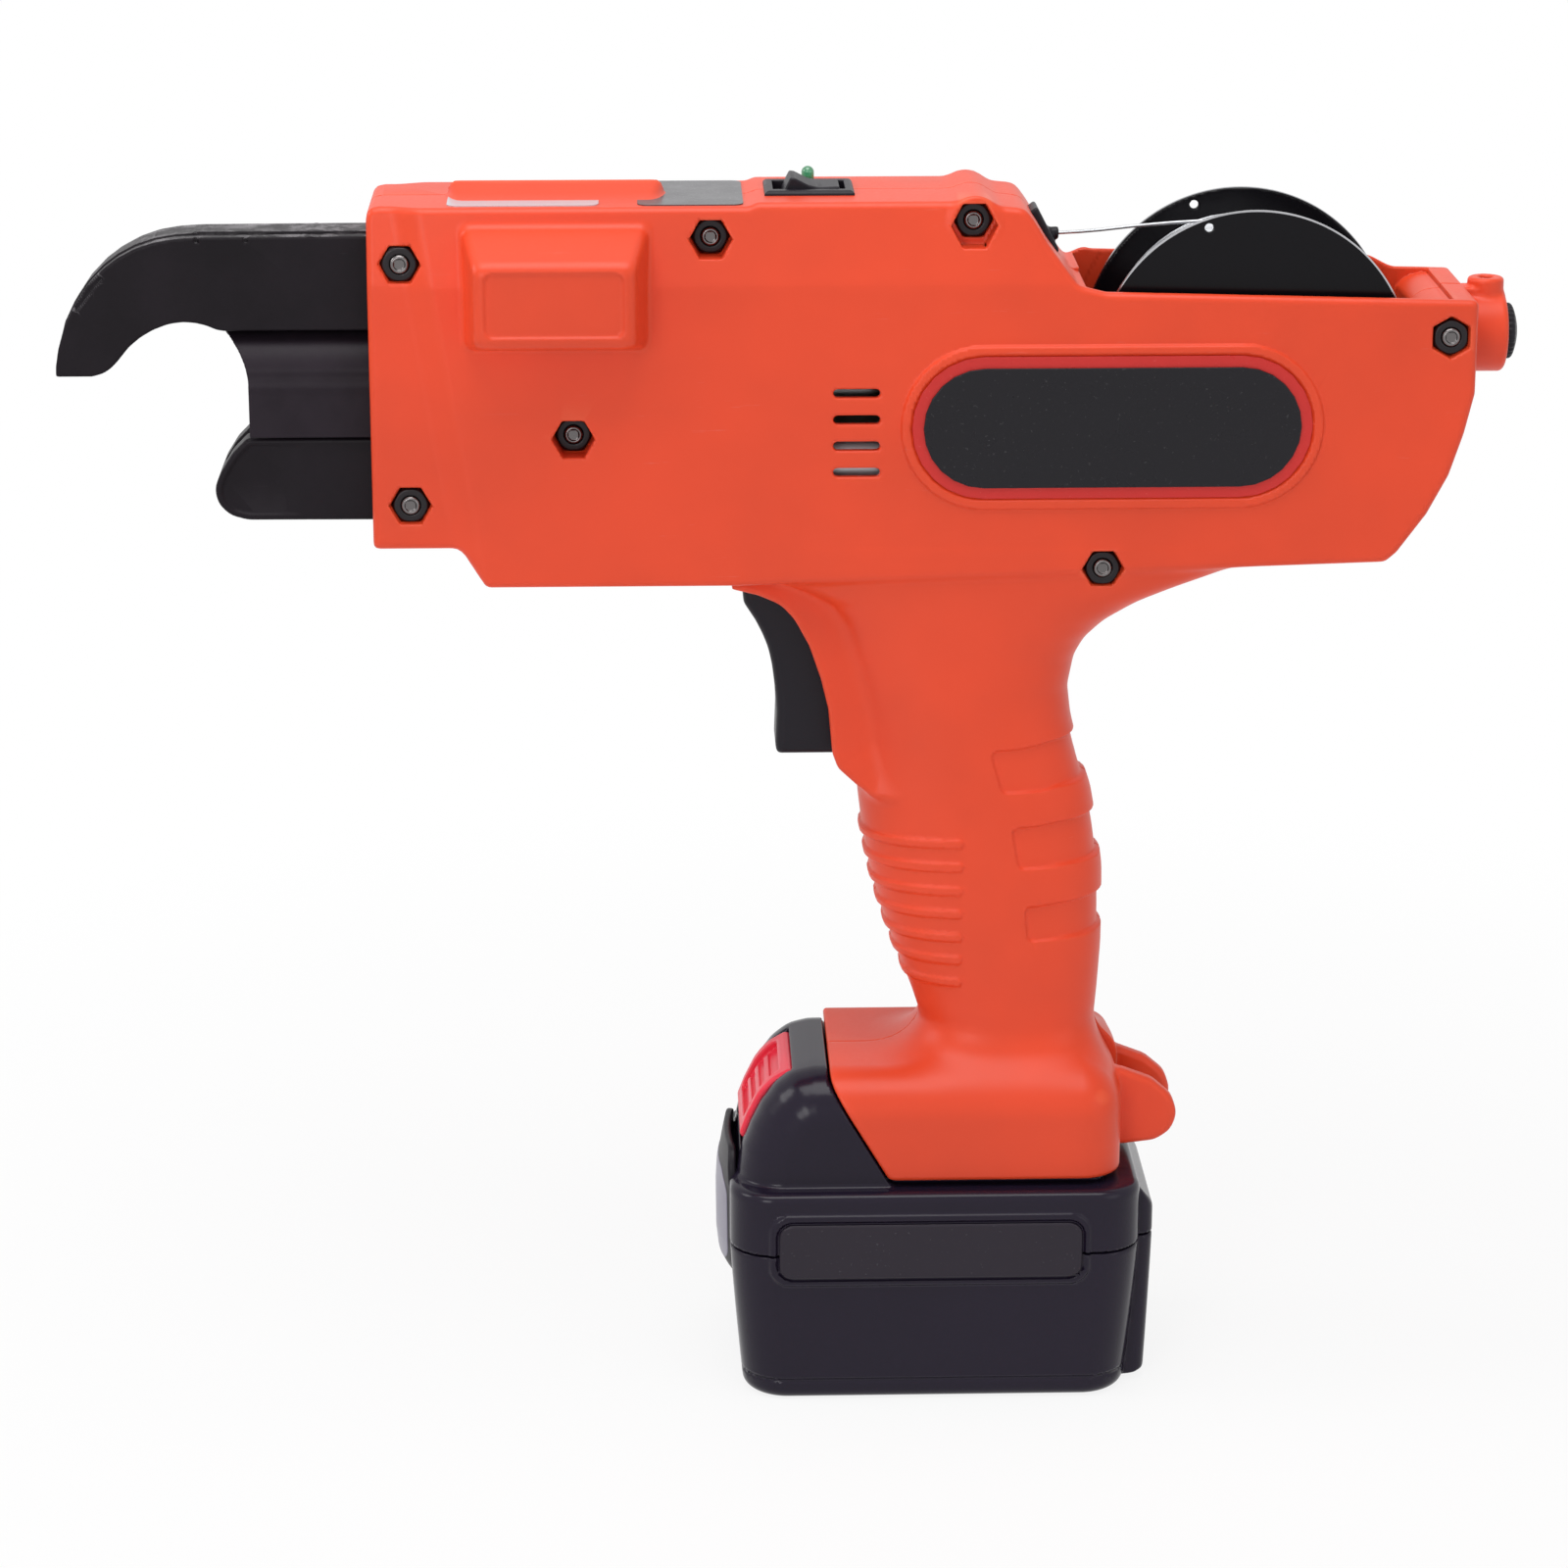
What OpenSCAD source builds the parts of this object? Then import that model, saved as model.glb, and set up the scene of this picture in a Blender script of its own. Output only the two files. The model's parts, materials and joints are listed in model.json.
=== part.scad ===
// Rebar tying tool: feeds wire round two crossed bars, twists it and cuts it.
// Origin at the centre of the battery pack's foot. X runs to the rear, Y to the right, Z up.

/* [Casing] */
// Height of the battery pack below the casing base
pack_h = 56.5; // [55:0.5:58]
// Height of the casing base
base_h = 26; // [25:0.5:28]
// Height of the grip, from the base to the body
grip_h = 123; // [119:1:127]
// Height of the body
body_h = 90; // [89:0.5:92]
// Width of the body
body_w = 44; // [43.5:0.5:46]
// Pack centre to the front face of the body
body_front = 134; // [132:1:136]
// Pack centre to the rear wall of the body
body_rear = 124; // [123:0.5:127]
// Wall of the casing
wall = 2.5; // [2.2:0.1:2.7]
// Height of the leaning band along the top of each side
crease_drop = 18; // [15:0.5:20]
// How far that band leans in
top_inset = 3; // [2:0.25:3.5]
// How far the nose bottom lies above the body bottom
nose_lift = 9; // [8:0.5:9.5]
// Length of the nose bottom
nose_len = 20.5; // [18:0.5:22]
// Run of the step behind it
nose_step = 6; // [4:0.5:8]
// How far the sides of the nose are set in
nose_inset = 2.5; // [1.5:0.25:2.75]
// Run of the ramp up from the nose sides
nose_ramp = 7; // [5:0.5:9]
// Lean of that ramp, in degrees
nose_lean = 9.3; // [7:0.1:11]
// How far the body bottom rises to the rear
tail_lift = 5.5; // [4:0.25:6]
// Length of the rear lower corner
tail_run = 19; // [17:0.5:20]
// Height of the rear lower corner
tail_rise = 40; // [37:0.5:42]
// Front to rear unit of the grip
grip_depth = 60; // [59:0.25:61]
// Base: pack centre to front edge
base_front = 26; // [25:0.25:27]
// Base: pack centre to rear edge
base_rear = 44.5; // [43.5:0.25:46]
// Base: width
base_w = 56; // [55:0.5:57]
// Run of the slanted front edge of the base
base_slant = 14.5; // [12:0.5:15]
// Length of the strap lug
lug_len = 16; // [14:0.5:18]
// Height of the strap lug
lug_h = 20; // [18:0.5:20.5]
// Gap between the ears of the strap lug
lug_gap = 12; // [10:0.5:13]
// Thickness of each ear
lug_t = 4; // [3.5:0.25:4.5]
// Radius of the strap pin
strap_pin_r = 2; // [1.5:0.1:2.5]

/* [Fasteners] */
// Thread radius of the casing bolts
bolt_r = 2; // [1.8:0.05:2.1]
// Width of the nuts across flats
nut_af = 7; // [6.6:0.1:7.2]
// Thickness of the nuts
nut_t = 3.2; // [2.8:0.1:3.4]
// Radius of the bolt heads
head_r = 3.5; // [3.2:0.1:3.7]
// Radius of the bolt bosses
boss_r = 4.7; // [4.6:0.1:5]

/* [Bump and vents] */
// Length of the bump on each side, at its base
bump_len = 42.5; // [42:0.5:44]
// Height of the bump at its base
bump_h = 27.5; // [27:0.25:28]
// How far the bump stands out
bump_out = 14; // [13.5:0.25:15]
// Slope of the bump's lower and end walls
bump_slope = 3.2; // [2.5:0.1:3.4]
// Slope of the bump's upper wall
bump_top_slope = 6; // [4:0.25:6.5]
// Length of a vent
vent_len = 11; // [8:0.5:12]
// Height of a vent
vent_h = 2; // [1.5:0.1:2.4]
// Spacing of the vents
vent_pitch = 6.3; // [5.8:0.1:6.6]

/* [Reel] */
// Reel axle, behind the pack centre
reel_x = 73.3; // [73:0.1:73.8]
// Radius of the reel flanges
reel_r = 37; // [36:0.25:37.5]
// Width over the reel flanges
reel_w = 33; // [32.5:0.25:33.5]
// Thickness of a reel flange
flange_t = 1.6; // [1.4:0.1:1.8]
// How far the axle lies below the rim of the bay
reel_sink = 18.6; // [18:0.1:19.2]
// Gap round the reel in its bay
bay_gap = 2; // [1.5:0.1:2.2]
// How far the rim of the bay lies below the top
bay_drop = 20.3; // [19.8:0.1:20.6]
// Radius of the reel hub
hub_r = 14; // [12:0.5:16]
// Radius of the reel stubs
stub_r = 6; // [5.5:0.1:6.5]
// Radius of the outer layer of wire
winding_r = 31; // [29:0.25:31.5]
// Diameter of the wire
wire_d = 0.8; // [0.7:0.05:0.85]
// Loops in the outer layer
loops = 22; // [20:1:22]
// Spacing of the loops
loop_pitch = 1.26; // [1.24:0.01:1.28]

/* [Nose] */
// Height of the twisting axis above the body bottom
twist_rise = 46.9; // [46.5:0.1:47.3]
// Front face to the centre of the throat
throat_reach = 43.6; // [43:0.2:45]
// Radius of the throat
throat_r = 14.2; // [13.8:0.1:14.4]
// Outer radius of the curl guide
hook_r = 34; // [33.5:0.1:34.3]
// Width over the curl guide's plates
hook_w = 18; // [17:0.25:19]
// Thickness of each plate
hook_plate_t = 4; // [3.5:0.1:4.5]
// Radius of the wire's way round the curl guide
curl_r = 20.5; // [20:0.1:21]
// Outer radius of the barrel
barrel_r = 12.4; // [12.2:0.05:12.6]
// Wall of the barrel
barrel_wall = 1; // [0.8:0.05:1.1]
// Width of the lower jaw
jaw_w = 22; // [20:0.5:23]
// Height of the lower jaw
jaw_h = 20; // [19:0.25:20.4]
// Radius of the lower jaw's front
jaw_r = 8.4; // [8:0.1:8.8]
// Opening of the lower jaw, in degrees
jaw_open = 10; // [6:1:10]

/* [Twist drive] */
// Module of the twist gears
twist_mod = 1; // [0.96:0.01:1.02]
// Teeth of the motor pinion
pinion_teeth = 12; // [12:1:13]
// Teeth of the spindle gear
gear_teeth = 30; // [28:1:30]
// Radius of the twist motor
motor_r = 16.5; // [15.5:0.25:17]
// Length of the twist motor
motor_len = 56; // [50:1:58]
// Radius of the spindle
spindle_r = 4; // [3.8:0.05:4.2]
// Radius of the spindle's fork
fork_r = 8.4; // [8.2:0.05:8.5]
// Outer radius of the sleeve
sleeve_r = 10.6; // [10.5:0.05:10.7]
// Length of the sleeve
sleeve_len = 28; // [26:0.5:30]
// Opening of each twisting hook, in degrees
hook_open = 10; // [8:0.5:10]
// Thickness of the bearing plates
plate_t = 4; // [3.5:0.1:4.2]

/* [Wire feed] */
// Module of the feed gears
feed_mod = 1; // [0.97:0.01:1.02]
// Teeth of the feed pinion
feed_pinion_teeth = 10; // [10:1:11]
// Teeth of the feed gear
feed_gear_teeth = 14; // [13:1:14]
// Face width of the feed gears
feed_face = 6; // [5:0.25:6.5]
// Pitch radius of the feed wheels
feed_r = 4.8; // [4.6:0.05:4.85]
// Teeth of the feed wheels
feed_teeth = 12; // [12:1:13]
// Width of the feed wheels
feed_w = 4; // [3.5:0.1:4.2]
// Radius of the feed motor
feed_motor_r = 8.6; // [8:0.1:8.8]
// Length of the feed motor
feed_motor_len = 20; // [18:0.5:22]

/* [Trigger] */
// Width of the trigger
trigger_w = 16; // [15:0.5:17]
// Height of the trigger below its pin
trigger_h = 49; // [47:0.5:49.5]
// Pull of the trigger, in degrees
trigger_pull = 10; // [7:0.5:11]
// Radius of the trigger pin
trigger_pin_r = 2; // [1.5:0.1:2.5]

/* [Battery pack] */
// Length of the pack case
pack_len = 101; // [100:0.5:103]
// Width of the pack case
pack_w = 66; // [65:0.5:68]
// Radius of the pack's upright corners
pack_r = 11; // [9:0.5:12]
// Height of the seam of the pack case
pack_seam = 39; // [38:0.5:40]
// Radius of the pack's bottom edges
pack_foot_r = 7; // [5:0.5:8]
// Wall of the pack case
pack_wall = 2.2; // [2:0.1:2.4]
// Radius of a cell
cell_r = 8.8; // [8.5:0.1:9]
// Length of a cell
cell_len = 65; // [63:0.5:66]
// Radius of the hood's edges
hood_r = 9; // [7:0.5:10]
// Travel of the latch button
latch_travel = 3; // [2:0.25:3.5]
// Width of the latch button
latch_w = 27; // [24:0.5:29]

/* [Switch and dial] */
// Length of the rocker switch bezel
switch_len = 21; // [20:0.5:22]
// Width of the rocker switch bezel
switch_w = 15; // [14:0.5:16]
// Tilt of the rocker either way, in degrees
rocker_tilt = 9; // [7:0.5:10]
// Radius of the rear boss
tail_r = 9.6; // [9.2:0.1:9.8]
// Length of the rear boss
tail_len = 11; // [10.5:0.25:12]
// Radius of the twist strength dial
dial_r = 6.6; // [6:0.1:6.8]
// Radius of the eyelet's hole
eyelet_r = 1.6; // [1.3:0.1:1.8]

/* [Hidden] */
$fn = 48;
// Clearance between pieces that move, between pieces that sit, and in running fits
gap = 0.35;
seat = 0.15;
fit = 0.05;
// How far a cut runs past what it cuts
overrun = 2;

base_z = pack_h;
base_top = base_z + base_h;
body_z = base_top + grip_h;
body_top = body_z + body_h;
half_w = body_w/2;
inner_w = half_w - wall;
front_x = -body_front;
body_len = body_front + body_rear;
twist_z = body_z + twist_rise;
rim_z = body_top - bay_drop;
reel_z = rim_z - reel_sink;
bay_r = reel_r + bay_gap;
// Room beside the reel in its bay
reel_side = 2.75;
bay_in = max(inner_w, reel_w/2 + reel_side);
throat_x = front_x - throat_reach;
guide_top = twist_z + throat_r/9 + hook_r;
jaw_top = twist_z - barrel_r - gap;
jaw_low = jaw_top - jaw_h;

// Numbers of the bolts that carry the guide and the jaw, and of those in the hump and the tail
guide_bolt = 0;
jaw_bolt = 1;
hump_bolt = 3;
tail_bolt = 6;
// Bolts: front to rear share of the body, height share, nut depth share of the half width
bolt_shares = [
  [0.0298, 0.8556, 0.70], [0.0349, 0.2178, 0.70], [0.3097, 0.9178, 0.55], [0.5473, 0.9567, 0.53],
  [0.1841, 0.3989, 0.60], [0.6686, 0.0400, 0.77], [0.9808, 0.6544, 0.82]
];
head_share = 0.66;
function bolt_x(i) = front_x + bolt_shares[i][0]*body_len;
function bolt_z(i) = i == guide_bolt ? guide_top - 0.161*hook_r
  : i == jaw_bolt ? jaw_low + 0.2726*jaw_h
  : body_z + bolt_shares[i][1]*body_h;
function nut_y(i) = bolt_shares[i][2]*half_w;
head_y = head_share*half_w;
// Outer skin of the casing at each bolt
function skin_y(i) = bolt_shares[i][0] < 0.1
  ? half_w - nose_inset
  : half_w - top_inset*max(0, 1 - (body_top - bolt_z(i))/crease_drop);
nut_r = nut_af/2/cos(30);

function unit(v) = v/norm(v);
function arc(c, r, a0, a1, n) = [for (i = [0:n]) let(a = a0 + (a1 - a0)*i/n) c + r*[cos(a), sin(a)]];
// Points of a polygon, listed anticlockwise, moved inwards
function inset(p, d) = [
  for (i = [0:len(p) - 1])
    let(n = len(p), e = unit(p[i] - p[(i + n - 1)%n]), f = unit(p[(i + 1)%n] - p[i]))
      p[i] + d*[-e[1] - f[1], e[0] + f[0]]/(1 + e*f)
];
function round_box(x0, y0, x1, y1, r, n = 5) = concat(
  arc([x0 + r, y0 + r], r, 180, 270, n), arc([x1 - r, y0 + r], r, 270, 360, n),
  arc([x1 - r, y1 - r], r, 0, 90, n), arc([x0 + r, y1 - r], r, 90, 180, n));
function stadium(x, y, l, h, n = 12) = concat(
  arc([x + l/2 - h/2, y], h/2, -90, 90, n), arc([x - l/2 + h/2, y], h/2, 90, 270, n));

// Prisms from an outline: along Y from y0 to y1, along X, along Z
module prism_y(p, y0, y1) { translate([0, y1, 0]) rotate([90, 0, 0]) linear_extrude(y1 - y0) polygon(p); }
module prism_x(p, x0, x1) { translate([x0, 0, 0]) rotate([90, 0, 90]) linear_extrude(x1 - x0)
    polygon(p); }
module prism_z(p, z0, z1) { translate([0, 0, z0]) linear_extrude(z1 - z0) polygon(p); }
module box(x0, x1, y0, y1, z0, z1) { translate([x0, y0, z0]) cube([x1 - x0, y1 - y0, z1 - z0]); }
module rod_y(x, z, r, y0, y1) { translate([x, y1, z]) rotate([90, 0, 0]) cylinder(r = r, h = y1 - y0); }
module rod_x(y, z, r, x0, x1) { translate([x0, y, z]) rotate([0, 90, 0]) cylinder(r = r, h = x1 - x0); }
module rod_z(x, y, r, z0, z1) { translate([x, y, z0]) cylinder(r = r, h = z1 - z0); }
module hex_y(x, z, r, y0, y1) { translate([x, y1, z]) rotate([90, 0, 0])
    cylinder(r = r, h = y1 - y0, $fn = 6); }

// Spur gear outline: involute flanks from the base circle out, stub teeth, backlash as a share of the module
addendum_share = 0.8;
root_share = 1.2;
backlash_share = 0.06;
flank_steps = 3;
function involute(a) = tan(a)*180/PI - a;
function gear_radius(m, n, k) =
  let(rp = m*n/2, rb = rp*cos(20), r0 = max(rb,
      rp - root_share*m)) r0 + (rp + addendum_share*m - r0)*k/flank_steps;
function flank_angle(m, n, r) =
  let(rp = m*n/2, rb = rp*cos(20))
    90/n - backlash_share*m/rp*180/PI + involute(20) - involute(acos(min(1, rb/r)));
function gear_points(m, n, phase) = [
  for (i = [0:n - 1], s = [-1, 1], k = [0:flank_steps + 1])
    let(
      step = s < 0 ? k : flank_steps + 1 - k,
      low = gear_radius(m, n, 0),
      r = step == 0 ? m*n/2 - root_share*m : gear_radius(m, n, step - 1),
      a = 360*i/n + phase + s*flank_angle(m, n, max(r, low)))
      r*[cos(a), sin(a)]
];

// Half of a lofted shape on the left of the middle plane, from rings of points in rising order
module half_loft(rings) {
  n = len(rings[0]);
  m = len(rings);
  polyhedron(
    points = [for (ring = rings, p = ring) p],
    faces = concat(
      [[for (i = [0:n - 1]) n - 1 - i]],
      [[for (i = [0:n - 1]) (m - 1)*n + i]],
      [for (j = [0:m - 2], i = [0:n - 1]) [j*n + i, j*n + (i + 1)%n, (j + 1)*n + i]],
      [for (j = [0:m - 2], i = [0:n - 1]) [j*n + (i + 1)%n, (j + 1)*n + (i + 1)%n, (j + 1)*n + i]]));
}
function soft(v, e) = sign(v)*pow(abs(v), 2/e);
ring_steps = 14;
function half_ring(z, x0, x1, w, e) = [
  for (i = [0:ring_steps])
    let(a = 180*i/ring_steps)
      [(x0 + x1)/2 + (x1 - x0)/2*soft(cos(a), e), i%ring_steps == 0 ? 0 : -w*soft(sin(a), e), z]
];

// Tube along points, with flat ends square to it: used for wire and springs
tube_sides = 6;
function tube_ring(p, t, r) =
  let(u = unit(cross(t, abs(t[1]) < 0.9 ? [0, 1, 0] : [1, 0, 0])), v = cross(t, u))
    [for (k = [0:tube_sides - 1]) p + r*(cos(360*k/tube_sides)*u + sin(360*k/tube_sides)*v)];
module tube(path, r) {
  n = len(path);
  k = tube_sides;
  rings = [for (i = [0:n - 1]) tube_ring(path[i],
      unit(path[min(i + 1, n - 1)] - path[max(i - 1, 0)]), r)];
  polyhedron(
    points = [for (ring = rings, p = ring) p],
    faces = concat(
      [[for (i = [0:k - 1]) i]],
      [[for (i = [0:k - 1]) n*k - 1 - i]],
      [for (j = [0:n - 2], i = [0:k - 1]) [j*k + i, (j + 1)*k + i, j*k + (i + 1)%k]],
      [for (j = [0:n - 2], i = [0:k - 1]) [j*k + (i + 1)%k, (j + 1)*k + i, (j + 1)*k + (i + 1)%k]]));
}

// Casing

tail_shares = [[0, 0], [0.13, 0.065], [0.47, 0.30], [0.72, 0.53], [0.88, 0.77], [1, 1]];
tail_x = body_rear - tail_run;
tail_z = body_z + tail_lift;
// Slope from the top down to the bay's rim
slope_foot = reel_x - 0.955*reel_r;
slope_top = slope_foot - 0.222*body_h;
slope_dip = 0.02*body_h;
heel_x = -0.8*grip_depth;
body_side = concat(
  [
    [front_x, body_top],
    [front_x, body_z + nose_lift],
    [front_x + nose_len, body_z + nose_lift],
    [front_x + nose_len + nose_step, body_z],
    [heel_x, body_z]
  ],
  [for (s = tail_shares) [tail_x + s[0]*tail_run, tail_z + s[1]*tail_rise]],
  [
    [body_rear, rim_z],
    [slope_foot, rim_z],
    [slope_foot - 0.072*body_h, rim_z + slope_dip],
    [slope_top, body_top - slope_dip],
    [bolt_x(hump_bolt), body_top - slope_dip],
    [bolt_x(hump_bolt) - bolt_shares[hump_bolt][1]*boss_r, body_top]
  ]);
body_section = [
  [0, body_z - overrun], [0, body_top + overrun], [top_inset - half_w, body_top + overrun],
  [top_inset - half_w, body_top], [-half_w, body_top - crease_drop], [-half_w, body_z - overrun]
];
inner_section = [
  [0, body_z - overrun], [0, body_top], [top_inset - inner_w, body_top],
  [-inner_w, body_top - crease_drop], [-inner_w, body_z - overrun]
];

// Grip rings: height share of the grip, front and rear shares of the depth unit, width share, squareness
grip_shares = [
  [0.004, -0.12, 0.69, 0.425, 3.0], [0.06, -0.05, 0.683, 0.385, 2.6], [0.13, -0.085, 0.682, 0.385, 2.6],
  [0.22, -0.165, 0.693, 0.40, 2.6], [0.30, -0.215, 0.692, 0.41, 2.6], [0.385, -0.26, 0.694, 0.415, 2.6],
  [0.466, -0.30, 0.665, 0.415, 2.6], [0.547, -0.32, 0.645, 0.41, 2.6], [0.59, -0.39, 0.618, 0.405, 2.6],
  [0.642, -0.405, 0.588, 0.405, 2.7], [0.70, -0.42, 0.553, 0.405, 2.7], [0.76, -0.445, 0.537, 0.41, 2.8],
  [0.827, -0.48, 0.573, 0.42, 3.0], [0.866, -0.505, 0.637, 0.435, 3.2], [0.906, -0.54, 0.753, 0.453, 3.6],
  [0.947, -0.595, 0.933, 0.475, 4.5], [0.98, -0.76, 1.10, 0.489, 6.0], [1.03, -0.79, 1.20, 0.494, 8.0]
];
// Base rings: height share of the base, front, rear and half width shares, squareness
base_shares = [
  [0, 1, 1, 0.5, 9], [0.62, 1, 1, 0.5, 9], [0.8, 0.97, 0.985, 0.485, 8], [0.92, 0.88, 0.96, 0.45, 7],
  [0.985, 0.72, 0.94, 0.40, 5]
];
function grip_ring(s, d) = half_ring(
  base_top + s[0]*grip_h, s[1]*grip_depth + d, s[2]*grip_depth - d, s[3]*body_w - d, s[4]);
function base_ring(s) = half_ring(
  base_z + s[0]*base_h, -s[1]*base_front, s[2]*base_rear, s[3]*base_w, s[4]);

// Slanted front edge of the base
slant_top = base_top - 0.06*base_h;
function slant_x(z) = base_slant*(slant_top - z)/(slant_top - base_z) - base_front;
base_wall = 1.2*wall;
base_roof = base_top - 1.8*wall;
rail_z = base_z + 0.2*base_h;
rail_h = 0.12*base_h;
rail_in = 0.05*base_w;
well_w = base_w/2 - base_wall;
well_rear = base_rear - base_wall;

slot_w = trigger_w/2 + gap;
trigger_px = -0.567*grip_depth;
trigger_pz = body_z + 0.7*trigger_pin_r;
trigger_low = trigger_pz - trigger_h;
slot_rear = -0.05*grip_depth;

feed_x = front_x + 0.1473*body_len;
feed_z = twist_z + sleeve_r + 0.7915*plate_t + 1.05*feed_motor_r;
feed_centres = feed_mod*(feed_pinion_teeth + feed_gear_teeth)/2;
feed_motor_x = feed_x + feed_centres;
bump_x0 = feed_x - 0.362*bump_len;
bump_x1 = bump_x0 + bump_len;
bump_z0 = feed_z - 0.4436*bump_h;
bump_z1 = bump_z0 + bump_h;
bump_y = half_w + bump_out;

module bump(d) {
  intersection() {
    prism_z(
      [
        [bump_x0 + d, 0], [bump_x0 + d, -half_w], [bump_x0 + bump_slope + d, -bump_y + d],
        [bump_x1 - bump_slope - d, -bump_y + d], [bump_x1 - d, -half_w], [bump_x1 - d, 0]
      ],
      bump_z0, bump_z1);
    prism_x(
      [
        [0, bump_z0 + d], [0, bump_z1 - d], [-half_w, bump_z1 - d],
            [-bump_y + d, bump_z1 - bump_top_slope - d],
        [-bump_y + d, bump_z0 + bump_slope + d], [-half_w, bump_z0 + d]
      ],
      bump_x0, bump_x1);
  }
}

badge_x = front_x + 0.6744*body_len;
badge_z = body_z + 0.4233*body_h;
badge_len = 0.3845*body_len;
badge_h = 0.433*body_h;
badge_rim = 0.9*wall;
rim_out = 0.32*wall;
vent_x = front_x + 0.4415*body_len;
vent_z = body_z + 0.516*body_h;

// Cut that sets the nose sides in, with a leaning ramp behind it
module nose_cheek(d) {
  foot = 0.0775*body_len + d/2;
  y = nose_inset + d - half_w;
  translate([front_x, 0, body_z]) rotate([0, -nose_lean, 0]) prism_z(
    [[-body_len, -body_w], [-body_len, y], [foot, y], [foot + nose_ramp, d - half_w],
        [foot + nose_ramp, -body_w]],
    -body_h, 2*body_h);
}
module casing_outer() {
  difference() {
    union() {
      intersection() {
        prism_y(body_side, -half_w, 0);
        prism_x(body_section, front_x - overrun, body_rear + overrun);
      }
      half_loft(concat([for (s = base_shares) base_ring(s)], [for (s = grip_shares) grip_ring(s, 0)]));
      rod_y(bolt_x(hump_bolt), bolt_z(hump_bolt), 1.7*boss_r, top_inset - half_w, 0);
      bump(0);
      // Sides of the reel bay, where the reel needs more room than the body gives
      intersection() {
        prism_y(body_side, -reel_w/2 - reel_side - wall, 0);
        rod_y(reel_x, reel_z, bay_r + wall, -reel_w/2 - reel_side - wall, 0);
      }
      rod_y(bolt_x(tail_bolt), bolt_z(tail_bolt) - 0.6*boss_r, 2.2*boss_r, -half_w - rim_out, -half_w/2);
      difference() {
        prism_y(stadium(badge_x, badge_z, badge_len, badge_h), -half_w - rim_out, -inner_w);
        prism_y(
          stadium(badge_x, badge_z, badge_len - 2*badge_rim, badge_h - 2*badge_rim),
          -half_w - overrun, -half_w);
      }
    }
    nose_cheek(0);
    // Rear of the side boss, level with the rear wall
    box(body_rear, body_rear + body_w, -body_w, 0, body_z, body_top);
  }
}

module casing_hollow() {
  difference() {
    union() {
      intersection() {
        prism_y(inset(body_side, wall), -half_w, overrun);
        prism_x(inner_section, front_x, body_rear);
      }
      half_loft([for (s = grip_shares) grip_ring(s, wall)]);
      bump(wall);
      // Pack well, open to the front and below
      prism_y(
        [
          [-base_front - overrun, base_z - overrun], [well_rear, base_z - overrun],
              [well_rear, base_roof],
          [-base_front - overrun, base_roof]
        ],
        -well_w, overrun);
    }
    nose_cheek(wall);
    // Wall of the reel bay, and the rails of the pack well
    rod_y(reel_x, reel_z, bay_r + wall, -bay_in - wall, overrun);
    box(-base_front/2, base_rear, -well_w - overrun, rail_in - well_w, rail_z, rail_z + rail_h);
  }
  rod_y(reel_x, reel_z, bay_r, -bay_in, overrun);
  box(reel_x, reel_x + bay_r, -bay_in, overrun, reel_z, body_top);
}

front_open_w = max(barrel_r, jaw_w/2) + 2*gap;

lug_x0 = base_rear - overrun;
lug_x1 = base_rear + lug_len;
lug_z0 = base_z + 0.1*base_h;
lug_z1 = lug_z0 + lug_h;
lug_pin_x = lug_x1 - 0.5*lug_len;
lug_pin_z = (lug_z0 + lug_z1)/2;
// Ear outline shares of its length and height
lug_shares = [
  [0, 0], [0.3, 0], [0.86, 0.1], [1, 0.42], [0.9, 0.8], [0.25, 1], [0, 1]
];
module casing_bare() {
  difference() {
    union() {
      difference() {
        casing_outer();
        casing_hollow();
      }
      for (i = [0:6]) rod_y(bolt_x(i), bolt_z(i), boss_r, wall/2 - skin_y(i), 0);
      prism_y(
        [for (s = lug_shares) [lug_x0 + s[0]*(lug_x1 - lug_x0), lug_z0 + s[1]*lug_h]],
        -lug_gap/2 - lug_t, -lug_gap/2);
      // Seat of the reel stub
      rod_y(reel_x, reel_z, stub_r + wall, -bay_in - wall, -bay_in + wall/2);
    }
    for (i = [0:6]) rod_y(bolt_x(i), bolt_z(i), bolt_r + seat, -body_w, overrun);
    // Front opening for the curl guide, the barrel and the jaw
    box(
      front_x - overrun, front_x + 2*wall, -front_open_w, overrun,
      body_z + nose_lift + 0.9*wall, guide_top + gap);
    // Room for the curl guide and the jaw between the nose bosses
    box(front_x, front_x + nose_len, -hook_w/2 - gap, overrun, twist_z, guide_top + gap);
    box(front_x, front_x + nose_len, -jaw_w/2 - gap, overrun, jaw_low - 3*gap, twist_z);
    // Trigger slot
    box(
      heel_x - overrun, slot_rear, -slot_w, overrun,
      trigger_low - 2*gap, trigger_pz + 4*trigger_pin_r);
    // Slanted front of the base
    prism_y(
      [
        [-base_front - base_w, slant_top], [-base_front, slant_top],
        [slant_x(base_z - overrun), base_z - overrun], [-base_front - base_w, base_z - overrun]
      ],
      -base_w, overrun);
    // Vents
    for (i = [0:3]) prism_y(
      stadium(vent_x, vent_z - i*vent_pitch, vent_len, vent_h, 6), -half_w - overrun, -inner_w + overrun);
    // Rocker switch window, wire guide window, strap pin and trigger pin
    box(
      switch_x - switch_hole, switch_x + switch_hole, -switch_w/2 + wall/2 - seat, overrun,
      body_top - 2*wall, body_top + overrun);
    guide_block(seat);
    block_seat(seat);
    rod_y(lug_pin_x, lug_pin_z, strap_pin_r + seat, -body_w, overrun);
    rod_y(trigger_px, trigger_pz, trigger_pin_r + fit, trigger_pin_end, overrun);
  }
}
trigger_pin_end = -0.62*half_w;

switch_x = front_x + 0.4*body_len;
switch_hole = switch_len/2 - wall/2 + seat;
led_x = switch_x;
led_y = 0.57*half_w;
led_r = 0.75*bolt_r;

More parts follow.
